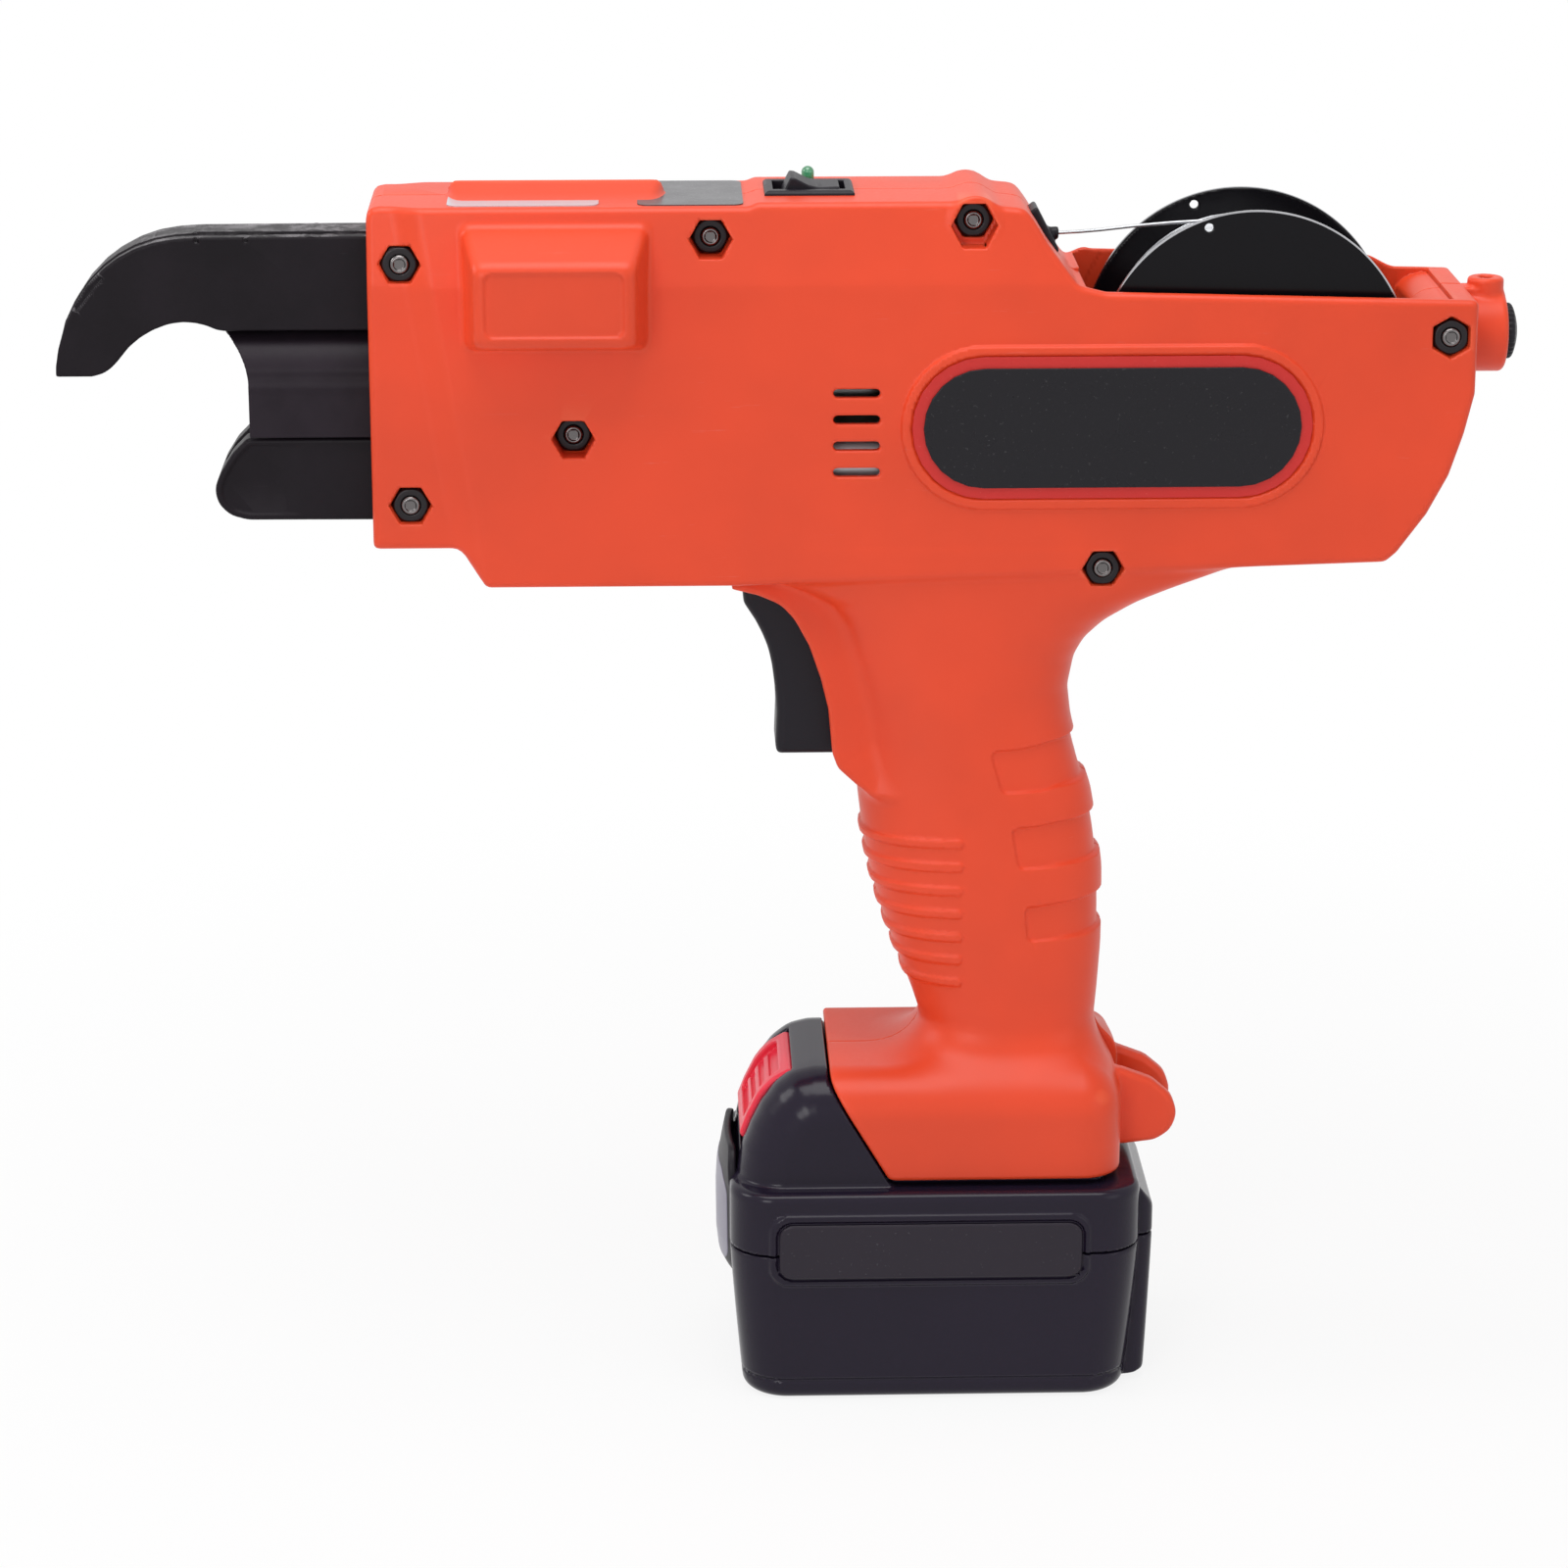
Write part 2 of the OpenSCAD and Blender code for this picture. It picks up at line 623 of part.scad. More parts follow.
module casing_left() {
  color([0.87, 0.31, 0.19]) difference() {
    casing_bare();
    for (i = [0:6]) rotate_about(bolt_x(i), bolt_z(i), i == tail_bolt ? 30 : 0)
      hex_y(bolt_x(i), bolt_z(i), nut_r + 2*seat, -body_w, -nut_y(i));
    rod_y(reel_x, reel_z, stub_r + seat, -bay_in - wall/2, overrun);
  }
}
module rotate_about(x, z, a) { translate([x, 0, z]) rotate([0, a, 0]) translate([-x, 0, -z]) children(); }

module casing_right() {
  color([0.87, 0.31, 0.19]) difference() {
    mirror([0, 1, 0]) casing_bare();
    for (i = [0:6]) rod_y(bolt_x(i), bolt_z(i), head_r + seat, head_y, body_w);
    rod_y(reel_x, reel_z, stub_r + gap, -overrun, body_w);
    rod_z(led_x, led_y, led_r + fit, body_top - 2*wall, body_top + overrun);
  }
}

module casing_bolts() {
  color([0.25, 0.25, 0.27]) for (i = [0:6]) {
    rod_y(bolt_x(i), bolt_z(i), bolt_r, -nut_y(i) - nut_t - 2*seat, head_y);
    difference() {
      rod_y(bolt_x(i), bolt_z(i), head_r, head_y, head_y + 2*bolt_r);
      hex_y(bolt_x(i), bolt_z(i), 0.85*bolt_r, head_y + bolt_r, head_y + body_w);
    }
  }
}

module casing_nuts() {
  color([0.12, 0.12, 0.13]) for (i = [0:6]) difference() {
    rotate_about(bolt_x(i), bolt_z(i), i == tail_bolt ? 30 : 0)
      hex_y(bolt_x(i), bolt_z(i), nut_r, -nut_y(i) - nut_t, -nut_y(i));
    rod_y(bolt_x(i), bolt_z(i), bolt_r + fit, -body_w, 0);
  }
}

// Badge: a red border and a black plate on it
border_t = 0.24*wall;
module badge_border() {
  color([0.83, 0.13, 0.13]) prism_y(
    stadium(badge_x, badge_z, badge_len - 2.2*badge_rim, badge_h - 2.2*badge_rim),
        -half_w - border_t, -half_w);
}
module badge_plate() {
  color([0.05, 0.05, 0.06]) prism_y(
    stadium(badge_x, badge_z, badge_len - 4.6*badge_rim, badge_h - 4.6*badge_rim),
    -half_w - 2*border_t, -half_w - border_t);
}

label_t = 0.1*wall;
label_w = half_w - top_inset - wall;
// Front to rear shares of the two labels on the top
label_shares = [[0.0725, 0.209], [0.244, 0.3395]];
module top_labels() {
  color([0.75, 0.76, 0.77]) for (s = label_shares) prism_z(
    round_box(front_x + s[0]*body_len, -label_w, front_x + s[1]*body_len, label_w, wall),
    body_top, body_top + label_t);
}

// Rocker switch
bezel_t = 0.7*wall;
switch_deep = 0.115*body_h;
rocker_l = switch_len/2 - 0.9*wall;
rocker_w = switch_w/2 - 0.75*wall;
rocker_z = body_top + 0.2*wall;
rocker_rise = 1.5*wall;
module switch_body() {
  color([0.06, 0.06, 0.07]) difference() {
    union() {
      prism_z(
        round_box(switch_x - switch_len/2, -switch_w/2, switch_x + switch_len/2, switch_w/2, 0.5*wall),
        body_top, body_top + bezel_t);
      box(
        switch_x - switch_hole + seat, switch_x + switch_hole - seat, wall/2 - switch_w/2,
            switch_w/2 - wall/2,
        body_top - switch_deep, body_top + bezel_t/2);
    }
    box(
      switch_x - rocker_l - gap, switch_x + rocker_l + gap, -rocker_w - gap, rocker_w + gap,
      body_top - switch_deep + wall/2, body_top + overrun);
  }
  color([0.06, 0.06, 0.07]) for (s = [-1, 1]) rod_y(
    switch_x, rocker_z, 0.3*wall, s < 0 ? -rocker_w - 2*gap : rocker_w - wall/2,
        s < 0 ? wall/2 - rocker_w : rocker_w + 2*gap);
}
module rocker() {
  dip = rocker_l*tan(rocker_tilt);
  low = 1.1*wall;
  color([0.1, 0.1, 0.11]) rotate_about(switch_x, rocker_z, rocker_tilt) difference() {
    prism_y(
      [
        [switch_x - rocker_l, rocker_z], [switch_x - rocker_l + wall/2, rocker_z - low],
        [switch_x + rocker_l - wall/2, rocker_z - low], [switch_x + rocker_l, rocker_z],
        [switch_x + rocker_l, rocker_z + rocker_rise], [switch_x, rocker_z + rocker_rise - dip/2],
        [switch_x - rocker_l, rocker_z + rocker_rise]
      ],
      -rocker_w, rocker_w);
    for (s = [-1, 1]) rod_y(
      switch_x, rocker_z, 0.3*wall + fit, s < 0 ? -switch_w : rocker_w - wall/2 - fit,
          s < 0 ? wall/2 - rocker_w + fit : switch_w);
  }
}
module status_led() {
  color([0.15, 0.7, 0.25]) {
    rod_z(led_x, led_y, led_r, body_top - 1.6*wall, body_top + led_r);
    translate([led_x, led_y, body_top + led_r]) sphere(led_r);
  }
}

// Wire line: inlet at the slope, pinch point of the feed wheels, and on below the front bolt
wire_r = wire_d/2;
wire_in = [slope_foot - 0.24*reel_r, 0, body_top - 0.48*bay_drop];
wire_feed = [feed_x, 0, feed_z + feed_r];
wire_low = bolt_z(guide_bolt) - bolt_r - 4*wire_d;
function wire_z(x) = x > feed_x
  ? wire_feed[2] + (wire_in[2] - wire_feed[2])*(x - feed_x)/(wire_in[0] - feed_x)
  : wire_feed[2] + (wire_low - wire_feed[2])*(x - feed_x)/(bolt_x(guide_bolt) - feed_x);

guide_w = 0.22*half_w;
guide_len = 0.17*body_h;
module guide_block(d) {
  box(
    wire_in[0] - guide_len - d, wire_in[0] + 0.16*guide_len + d, -guide_w - d, guide_w + d,
    wire_in[2] - guide_w - d, wire_in[2] + guide_w + d);
}
module wire_guide() {
  color([0.06, 0.06, 0.07]) difference() {
    union() {
      guide_block(0);
      // Lip over the slope
      prism_y(
        [
          [wire_in[0] + 0.16*guide_len, wire_in[2] - guide_w],
              [wire_in[0] + 0.35*guide_len, wire_in[2] - 1.35*guide_w],
          [wire_in[0] + 0.46*guide_len, wire_in[2] - guide_w],
              [wire_in[0] + 0.3*guide_len, wire_in[2] + 0.6*guide_w],
          [wire_in[0] + 0.16*guide_len, wire_in[2] + guide_w]
        ],
        -0.85*guide_w, 0.85*guide_w);
    }
    rod_x(0, wire_in[2], 2.2*wire_d, wire_in[0] - 2*guide_len, wire_in[0] + guide_len);
  }
}

// Rear boss with the eyelet, and the dial
tail_z0 = body_z + 0.6233*body_h;
eyelet_w = 2.7*eyelet_r;
eyelet_h = 0.37*tail_r;
eyelet_x = body_rear + 0.58*tail_len;
module tail_boss() {
  color([0.87, 0.31, 0.19]) difference() {
    union() {
      rod_x(0, tail_z0, tail_r, body_rear, body_rear + tail_len);
      prism_z(
        round_box(eyelet_x - eyelet_w, -eyelet_w, eyelet_x + eyelet_w, eyelet_w, 0.6*eyelet_w),
        tail_z0 + 0.86*tail_r, tail_z0 + tail_r + eyelet_h);
    }
    rod_x(0, tail_z0, dial_r + gap, body_rear + 0.3*tail_len, body_rear + tail_len + overrun);
    rod_z(eyelet_x, 0, eyelet_r, tail_z0 + dial_r + gap + wall/3, tail_z0 + 2*tail_r);
  }
}
module torque_pot() {
  color([0.2, 0.35, 0.25]) difference() {
    rod_x(0, tail_z0, dial_r + seat, body_rear + 0.3*tail_len, body_rear + 0.62*tail_len);
    rod_x(0, tail_z0, 0.4*dial_r + fit, body_rear + 0.4*tail_len, body_rear + tail_len);
  }
}
module torque_dial() {
  dome = 0.3*tail_len;
  color([0.07, 0.07, 0.08]) difference() {
    union() {
      rod_x(0, tail_z0, dial_r, body_rear + 0.66*tail_len, body_rear + tail_len + 0.5*dome);
      translate([body_rear + tail_len + 0.5*dome, 0, tail_z0]) rotate([0, 90, 0])
        cylinder(r1 = dial_r, r2 = 0.8*dial_r, h = 0.5*dome);
      rod_x(0, tail_z0, 0.4*dial_r, body_rear + 0.42*tail_len, body_rear + tail_len);
    }
    // Pointer groove
    box(
      body_rear + tail_len + 0.6*dome, body_rear + tail_len + overrun + dome, -0.12*dial_r, 0.12*dial_r,
      tail_z0, tail_z0 + 2*dial_r);
  }
}

module strap_pin() {
  color([0.6, 0.61, 0.63]) rod_y(lug_pin_x, lug_pin_z, strap_pin_r, -lug_gap/2 - lug_t,
      lug_gap/2 + lug_t);
}

// Curl guide: the hook over the throat
hook_x = throat_x + 0.23*throat_r;
hook_z = guide_top - hook_r;
guide_rear = front_x + 0.05*body_len;
plate_low = twist_z + barrel_r + gap;
tip_in = throat_x - 1.28*throat_r;
throat_exit = asin((plate_low - twist_z)/throat_r);
function guide_side(r, low, tip) = concat(
  [[guide_rear, guide_top]],
  arc([hook_x, hook_z], hook_r, 90, 180, 12),
  [[tip, hook_z]],
  low);
plate_side = guide_side(
  hook_r,
  concat(arc([throat_x, twist_z], throat_r, 150, throat_exit, 10), [[guide_rear, plate_low]]),
  tip_in);
core_low = wire_d*0.9;
core_side = guide_side(
  hook_r,
  concat(
    arc([throat_x, twist_z], curl_r + core_low, 160, 95, 8),
    [[guide_rear, wire_z(guide_rear) + core_low]]),
  throat_x - curl_r - core_low);
rivet_shares = [[0.25, 0.80], [0.52, 0.90], [0.80, 0.92], [-0.80, 0.25], [-0.45, 0.72]];
rivet_r = 0.12*hook_w;
function rivet_at(s) = [hook_x + s[0]*hook_r, hook_z + (s[0] > 0 ? s[1] : 0.93*s[1])*hook_r];
module guide_holes(d) {
  rod_y(bolt_x(guide_bolt), bolt_z(guide_bolt), bolt_r + seat, -hook_w, hook_w);
  for (s = rivet_shares) rod_y(rivet_at(s)[0], rivet_at(s)[1], rivet_r + d, -hook_w, hook_w);
}
module curl_guide_core() {
  color([0.15, 0.13, 0.15]) difference() {
    prism_y(core_side, hook_plate_t - hook_w/2, hook_w/2 - hook_plate_t);
    guide_holes(fit);
  }
}
module guide_plate() {
  difference() {
    prism_y(plate_side, -hook_w/2, hook_plate_t - hook_w/2);
    guide_holes(fit);
  }
}
module curl_guide_plates() {
  color([0.15, 0.13, 0.15]) {
    guide_plate();
    mirror([0, 1, 0]) guide_plate();
  }
}
module guide_rivets() {
  color([0.4, 0.4, 0.42]) for (s = rivet_shares)
      rod_y(rivet_at(s)[0], rivet_at(s)[1], rivet_r, -hook_w/2, hook_w/2);
}

// Barrel round the twisting hooks
barrel_rear = front_x + 0.0504*body_len;
module nose_barrel() {
  color([0.13, 0.12, 0.13]) difference() {
    rod_x(0, twist_z, barrel_r, throat_x, barrel_rear);
    rod_x(0, twist_z, barrel_r - barrel_wall, throat_x - overrun, barrel_rear + overrun);
    rod_y(throat_x, twist_z, throat_r, -body_w, body_w);
  }
}

// Lower jaw, hinged on the lower front bolt
jaw_front = throat_x + 1.01*throat_r;
jaw_rear = front_x + 0.05*body_len;
jaw_groove = 0.23*jaw_w;
module lower_jaw() {
  cx = jaw_front - 0.01*throat_r;
  color([0.13, 0.12, 0.13]) difference() {
    prism_y(
      concat(
        [[jaw_front, jaw_top]],
        arc([cx, jaw_low + jaw_r], jaw_r, 165, 270, 8),
        [[jaw_rear, jaw_low], [jaw_rear, jaw_low + 0.6*jaw_h], [front_x, jaw_top]]),
      -jaw_w/2, jaw_w/2);
    rod_y(bolt_x(jaw_bolt), bolt_z(jaw_bolt), bolt_r + fit, -jaw_w, jaw_w);
    // Wire groove along its upper front
    prism_y(
      [
        [jaw_front - 2*jaw_r, jaw_low + 0.9*jaw_h], [jaw_front - 2*jaw_r, jaw_low + 0.62*jaw_h],
        [jaw_front, jaw_low + 0.62*jaw_h], [jaw_front + 1.2*jaw_r, jaw_top + overrun],
            [jaw_front, jaw_top + overrun]
      ],
      -jaw_groove, jaw_groove);
  }
}

// Twist drive
twist_centres = twist_mod*(pinion_teeth + gear_teeth)/2;
motor_z = twist_z - twist_centres;
middle_x = front_x + 0.217*body_len;
gear_x = middle_x + plate_t + 0.008*body_len;
gear_face = 0.031*body_len;
motor_x = gear_x + gear_face + 0.008*body_len;
front_plate_x = front_x + 0.0543*body_len;
plate_y = inner_w - seat;
plate_z0 = body_z + wall + seat;
plate_z1 = feed_z - 1.05*feed_motor_r;
bush_r = spindle_r + fit;
module bearing_plate(x, hole_r, y = plate_y) {
  color([0.62, 0.63, 0.65]) difference() {
    box(x, x + plate_t, -y, y, plate_z0, plate_z1);
    rod_x(0, twist_z, hole_r, x - overrun, x + plate_t + overrun);
    children();
  }
}
module front_plate() {
  bearing_plate(front_plate_x, sleeve_r + fit, plate_y - nose_inset)
    box(front_plate_x - overrun, front_plate_x + overrun + plate_t, -body_w, body_w, body_z,
        body_z + nose_lift + wall + seat);
}
module middle_plate() { bearing_plate(middle_x, bush_r)
    rod_x(0, motor_z, 2*spindle_r, middle_x - overrun, gear_x); }
module motor_plate() {
  bearing_plate(motor_x, bush_r)
    rod_x(0, motor_z, 0.55*motor_r + seat, motor_x - overrun, motor_x + plate_t + overrun);
}
shaft_r = 0.6*spindle_r;
module twist_motor() {
  x0 = motor_x + plate_t;
  color([0.55, 0.56, 0.58]) difference() {
    union() {
      rod_x(0, motor_z, motor_r, x0, x0 + motor_len);
      rod_x(0, motor_z, 0.55*motor_r, x0 - plate_t, x0 + wall);
      rod_x(0, motor_z, 0.35*motor_r, x0 + motor_len - wall, x0 + motor_len + wall);
    }
    rod_x(0, motor_z, shaft_r + fit, x0 - 2*plate_t, x0 + motor_len/2);
  }
}
module motor_pinion() {
  color([0.7, 0.68, 0.6]) {
    translate([gear_x, 0, motor_z]) rotate([0, 90, 0]) linear_extrude(gear_face)
      polygon(gear_points(twist_mod, pinion_teeth, 180));
    rod_x(0, motor_z, shaft_r, gear_x + gear_face/2, motor_x + plate_t + motor_len/2 - wall);
  }
}
module spindle_gear() {
  color([0.7, 0.68, 0.6]) difference() {
    translate([gear_x, 0, twist_z]) rotate([0, 90, 0]) linear_extrude(gear_face)
      polygon(gear_points(twist_mod, gear_teeth, 180/gear_teeth*(gear_teeth%2 == 0 ? 1 : 0)));
    rod_x(0, twist_z, spindle_r, gear_x - overrun, gear_x + gear_face + overrun);
  }
}
hook_pin_x = front_x - 0.0078*body_len;
hook_pin_y = 0.5*fork_r;
hook_pin_r = 0.17*fork_r;
fork_front = hook_pin_x - 0.7*fork_r;
fork_rear = hook_pin_x + 0.95*fork_r;
hook_t = 0.36*fork_r;
hook_len = 0.9*(hook_pin_x - throat_x - throat_r);
module spindle() {
  color([0.5, 0.5, 0.52]) difference() {
    union() {
      rod_x(0, twist_z, spindle_r, fork_rear - overrun, motor_x + plate_t);
      rod_x(0, twist_z, fork_r, fork_front, fork_rear);
    }
    box(fork_front - overrun, fork_rear - 0.3*fork_r, -2*fork_r, 2*fork_r, twist_z - hook_t/2 - gap,
        twist_z + hook_t/2 + gap);
    for (s = [-1, 1]) rod_z(hook_pin_x, s*hook_pin_y, hook_pin_r, twist_z - 2*fork_r, twist_z + 2*fork_r);
  }
}
module hook_pins() {
  color([0.7, 0.7, 0.72]) for (s = [-1, 1])
    rod_z(hook_pin_x, s*hook_pin_y, hook_pin_r, twist_z - 0.75*fork_r, twist_z + 0.75*fork_r);
}
// Right hook; its own frame has the pin at the origin, and it opens outwards
module twist_hook() {
  arm = 0.2*fork_r;
  translate([hook_pin_x, hook_pin_y, twist_z]) rotate([0, 0, -hook_open]) difference() {
    prism_z(
      [
        [0.35*fork_r, -arm], [0.35*fork_r, arm], [-hook_len, arm], [-hook_len, gap - hook_pin_y],
        [0.3*fork_r - hook_len, gap - hook_pin_y], [0.3*fork_r - hook_len, -arm]
      ],
      -hook_t/2, hook_t/2);
    rod_z(0, 0, hook_pin_r + fit, -fork_r, fork_r);
  }
}
module hook_right() { color([0.35, 0.35, 0.37]) twist_hook(); }
module hook_left() { color([0.35, 0.35, 0.37]) mirror([0, 1, 0]) twist_hook(); }
sleeve_x = fork_rear + gap;
module sleeve() {
  color([0.45, 0.45, 0.47]) difference() {
    union() {
      rod_x(0, twist_z, sleeve_r, sleeve_x, sleeve_x + sleeve_len);
      rod_x(0, twist_z, 1.15*sleeve_r, sleeve_x + sleeve_len - wall, sleeve_x + sleeve_len);
    }
    rod_x(0, twist_z, spindle_r + fit, sleeve_x - overrun, sleeve_x + sleeve_len + overrun);
    rod_x(0, twist_z, fork_r + gap, sleeve_x - overrun, sleeve_x + 0.45*sleeve_len);
  }
}

// Wire feed, across the body, with its gears in the left bump and its motor in the right one
feed_y = 0.62*(half_w + bump_out) + feed_face;
shaft_fr = 0.42*feed_r;
motor_fr = 0.5*shaft_fr;
bracket_t = 0.5*feed_w;
bracket_y = feed_w/2 + gap;
bracket_x0 = feed_x - 1.7*feed_r;
bracket_x1 = feed_motor_x + feed_motor_r;
pinch_z = feed_z + 2*feed_r;
feed_wheel_mod = 2*feed_r/feed_teeth;
module toothed_wheel(x, z, phase) {
  difference() {
    translate([x, feed_w/2, z]) rotate([90, 0, 0]) linear_extrude(feed_w)
      polygon(gear_points(feed_wheel_mod, feed_teeth, phase));
    // Groove for the wire
    translate([x, 0, z]) rotate([90, 0, 0]) rotate_extrude()
      polygon([[feed_r - wire_d, 0], [feed_r + feed_wheel_mod, -1.6*wire_d],
          [feed_r + feed_wheel_mod, 1.6*wire_d]]);
    children();
  }
}
module feed_wheel() {
  color([0.6, 0.6, 0.62]) toothed_wheel(feed_x, feed_z, 90)
    rod_y(feed_x, feed_z, shaft_fr, -feed_w, feed_w);
}
module pinch_wheel() {
  color([0.6, 0.6, 0.62]) toothed_wheel(feed_x, pinch_z, -90 + 180/feed_teeth)
    rod_y(feed_x, pinch_z, shaft_fr + fit, -feed_w, feed_w);
}
module pinch_pin() {
  color([0.5, 0.5, 0.52]) rod_y(feed_x, pinch_z, shaft_fr, -bracket_y - bracket_t, bracket_y + bracket_t);
}
module feed_shaft() {
  color([0.5, 0.5, 0.52]) rod_y(feed_x, feed_z, shaft_fr, -feed_y, bracket_y + bracket_t);
}
module feed_gear() {
  color([0.85, 0.82, 0.72]) difference() {
    translate([feed_x, feed_face - feed_y, feed_z]) rotate([90, 0, 0]) linear_extrude(feed_face)
      polygon(gear_points(feed_mod, feed_gear_teeth, 0));
    rod_y(feed_x, feed_z, shaft_fr, -feed_y - overrun, feed_face - feed_y + overrun);
  }
}
module feed_pinion() {
  color([0.7, 0.68, 0.6]) {
    translate([feed_motor_x, feed_face - feed_y, feed_z]) rotate([90, 0, 0]) linear_extrude(feed_face)
      polygon(gear_points(feed_mod, feed_pinion_teeth, 180 + 180/feed_pinion_teeth));
    rod_y(feed_motor_x, feed_z, motor_fr, feed_face/2 - feed_y,
        bracket_y + bracket_t + feed_motor_len/2 - wall);
  }
}
module feed_motor() {
  y0 = bracket_y + bracket_t;
  color([0.55, 0.56, 0.58]) difference() {
    union() {
      rod_y(feed_motor_x, feed_z, feed_motor_r, y0, y0 + feed_motor_len);
      rod_y(feed_motor_x, feed_z, 0.4*feed_motor_r, y0, y0 + feed_motor_len + wall);
    }
    rod_y(feed_motor_x, feed_z, motor_fr + fit, y0 - overrun, y0 + feed_motor_len/2);
  }
}
module feed_bracket() {
  foot = 0.5*bracket_t;
  color([0.62, 0.63, 0.65]) difference() {
    union() {
      box(bracket_x0, bracket_x1, bracket_y, bracket_y + bracket_t, plate_z1, pinch_z + feed_r);
      box(bracket_x0, feed_motor_x - 2*motor_fr, -bracket_y - bracket_t, -bracket_y, plate_z1,
          pinch_z + feed_r);
      box(die_x, middle_x + plate_t, -bracket_y - bracket_t, bracket_y + bracket_t, plate_z1,
          plate_z1 + foot);
    }
    rod_y(feed_x, feed_z, shaft_fr + fit, -body_w, body_w);
    rod_y(feed_x, pinch_z, shaft_fr, -body_w, body_w);
    rod_y(feed_motor_x, feed_z, motor_fr + gap, -body_w, body_w);
    rod_y(feed_x, feed_z, feed_r + 2*feed_wheel_mod, -bracket_y, bracket_y);
  }
}

// Cutter: a die that the wire runs through, and a blade that sweeps across its front
die_x = front_plate_x + 0.7*plate_t;
die_len = 1.4*plate_t;
die_w = 0.3*half_w;
blade_t = 0.5*plate_t;
blade_pin_y = 1.1*die_w;
blade_pin_z = plate_z1 + 0.35*feed_motor_r;
blade_pin_r = 0.35*plate_t;
blade_x = die_x - blade_t - gap/3;
module cutter_die() {
  color([0.42, 0.42, 0.45]) difference() {
    union() {
      box(die_x, die_x + die_len, -die_w, die_w, plate_z1 + bracket_t/2, wire_z(die_x) + 0.5*die_w);
      box(die_x, die_x + die_len, -blade_pin_y - 2*blade_pin_r, 0, plate_z1 + bracket_t/2,
          blade_pin_z + 1.8*blade_pin_r);
    }
    translate([die_x, 0, wire_z(die_x)]) rod_x(0, 0, 1.5*wire_d, -overrun, die_len + overrun);
  }
  // Pivot of the blade
  color([0.42, 0.42, 0.45]) rod_x(-blade_pin_y, blade_pin_z, blade_pin_r, blade_x, die_x + die_len/2);
}
module cutter_blade() {
  top = wire_z(blade_x) - wire_d - gap;
  color([0.55, 0.55, 0.58]) difference() {
    prism_x(
      [
        [-blade_pin_y - 2*blade_pin_r, blade_pin_z - 1.4*blade_pin_r],
            [die_w, blade_pin_z - 1.4*blade_pin_r],
        [die_w, top - 0.3*die_w], [-0.3*die_w, top],
            [-blade_pin_y - 2*blade_pin_r, blade_pin_z + 2*blade_pin_r]
      ],
      blade_x, blade_x + blade_t);
    rod_x(-blade_pin_y, blade_pin_z, blade_pin_r + fit, blade_x - overrun, blade_x + blade_t + overrun);
  }
}

// Board over the motor, trigger switch and trigger
board_z = motor_z + motor_r + 2*wall;
board_x0 = motor_x + plate_t + wall;
board_t = 0.64*wall;
module control_board() {
  color([0.1, 0.32, 0.16]) {
    box(board_x0, board_x0 + 1.2*motor_len, seat - inner_w, inner_w - seat, board_z, board_z + board_t);
    for (i = [0:3]) box(
      board_x0 + (0.15 + 0.2*i)*motor_len, board_x0 + (0.28 + 0.2*i)*motor_len, -0.75*inner_w,
          -0.3*inner_w,
      board_z, board_z + 2.4*wall);
    rod_z(board_x0 + motor_len, 0.4*inner_w, 2*wall, board_z, board_z + 4*wall);
    box(board_x0 + 0.2*motor_len, board_x0 + 0.6*motor_len, 0.15*inner_w, 0.7*inner_w, board_z,
        board_z + 1.4*wall);
  }
}
// Trigger outline shares of the height below the pin: front edge, then the back edge, in rising order
trigger_front_shares = [
  [-0.08, -0.99], [-0.094, -0.9], [-0.088, -0.79], [-0.1, -0.69], [-0.118, -0.59], [-0.15, -0.49],
      [-0.188, -0.39],
  [-0.24, -0.29], [-0.283, -0.19], [-0.27, 0.02], [-0.1, 0.12]
];
trigger_back_shares = [[0.1, 0.1], [0.13, -0.2], [0.2, -0.42], [0.3, -0.7], [0.33, -0.96], [0.29, -1.0]];
function trigger_point(s) = [trigger_px + s[0]*trigger_h, trigger_pz + s[1]*trigger_h];
module trigger() {
  color([0.1, 0.1, 0.11]) difference() {
    prism_y(
      concat([for (s = trigger_back_shares) trigger_point(s)], [trigger_point([-0.05, -1])],
        [for (s = trigger_front_shares) trigger_point(s)]),
      -trigger_w/2, trigger_w/2);
    rod_y(trigger_px, trigger_pz, trigger_pin_r + fit, -trigger_w, trigger_w);
    // Pocket for the spring
    rod_x(0, spring_z, spring_r + 2*gap, spring_x0, spring_x0 + trigger_h);
  }
}
module trigger_pin() {
  color([0.6, 0.61, 0.63]) rod_y(trigger_px, trigger_pz, trigger_pin_r, trigger_pin_end,
      -trigger_pin_end);
}
switch_front = trigger_px + 0.4*trigger_h;
spring_r = 0.18*trigger_w;
spring_wire = 0.06*trigger_w;
spring_z = trigger_low + 0.24*trigger_h;
spring_x0 = trigger_px + 0.12*trigger_h;
spring_x1 = switch_front + 0.11*grip_depth;
spring_turns = 6;
spring_steps = 12;
function coil(x0, x1, r, turns, y, z) = [
  for (i = [0:turns*spring_steps])
    let(a = 360*i/spring_steps, f = i/(turns*spring_steps)) [x0 + (x1 - x0)*f, y + r*cos(a), z + r*sin(a)]
];
module trigger_spring() {
  color([0.7, 0.7, 0.72]) tube(
    coil(spring_x0 + spring_wire, spring_x1 - spring_wire, spring_r - spring_wire/2, spring_turns, 0,
        spring_z), spring_wire/2);
}
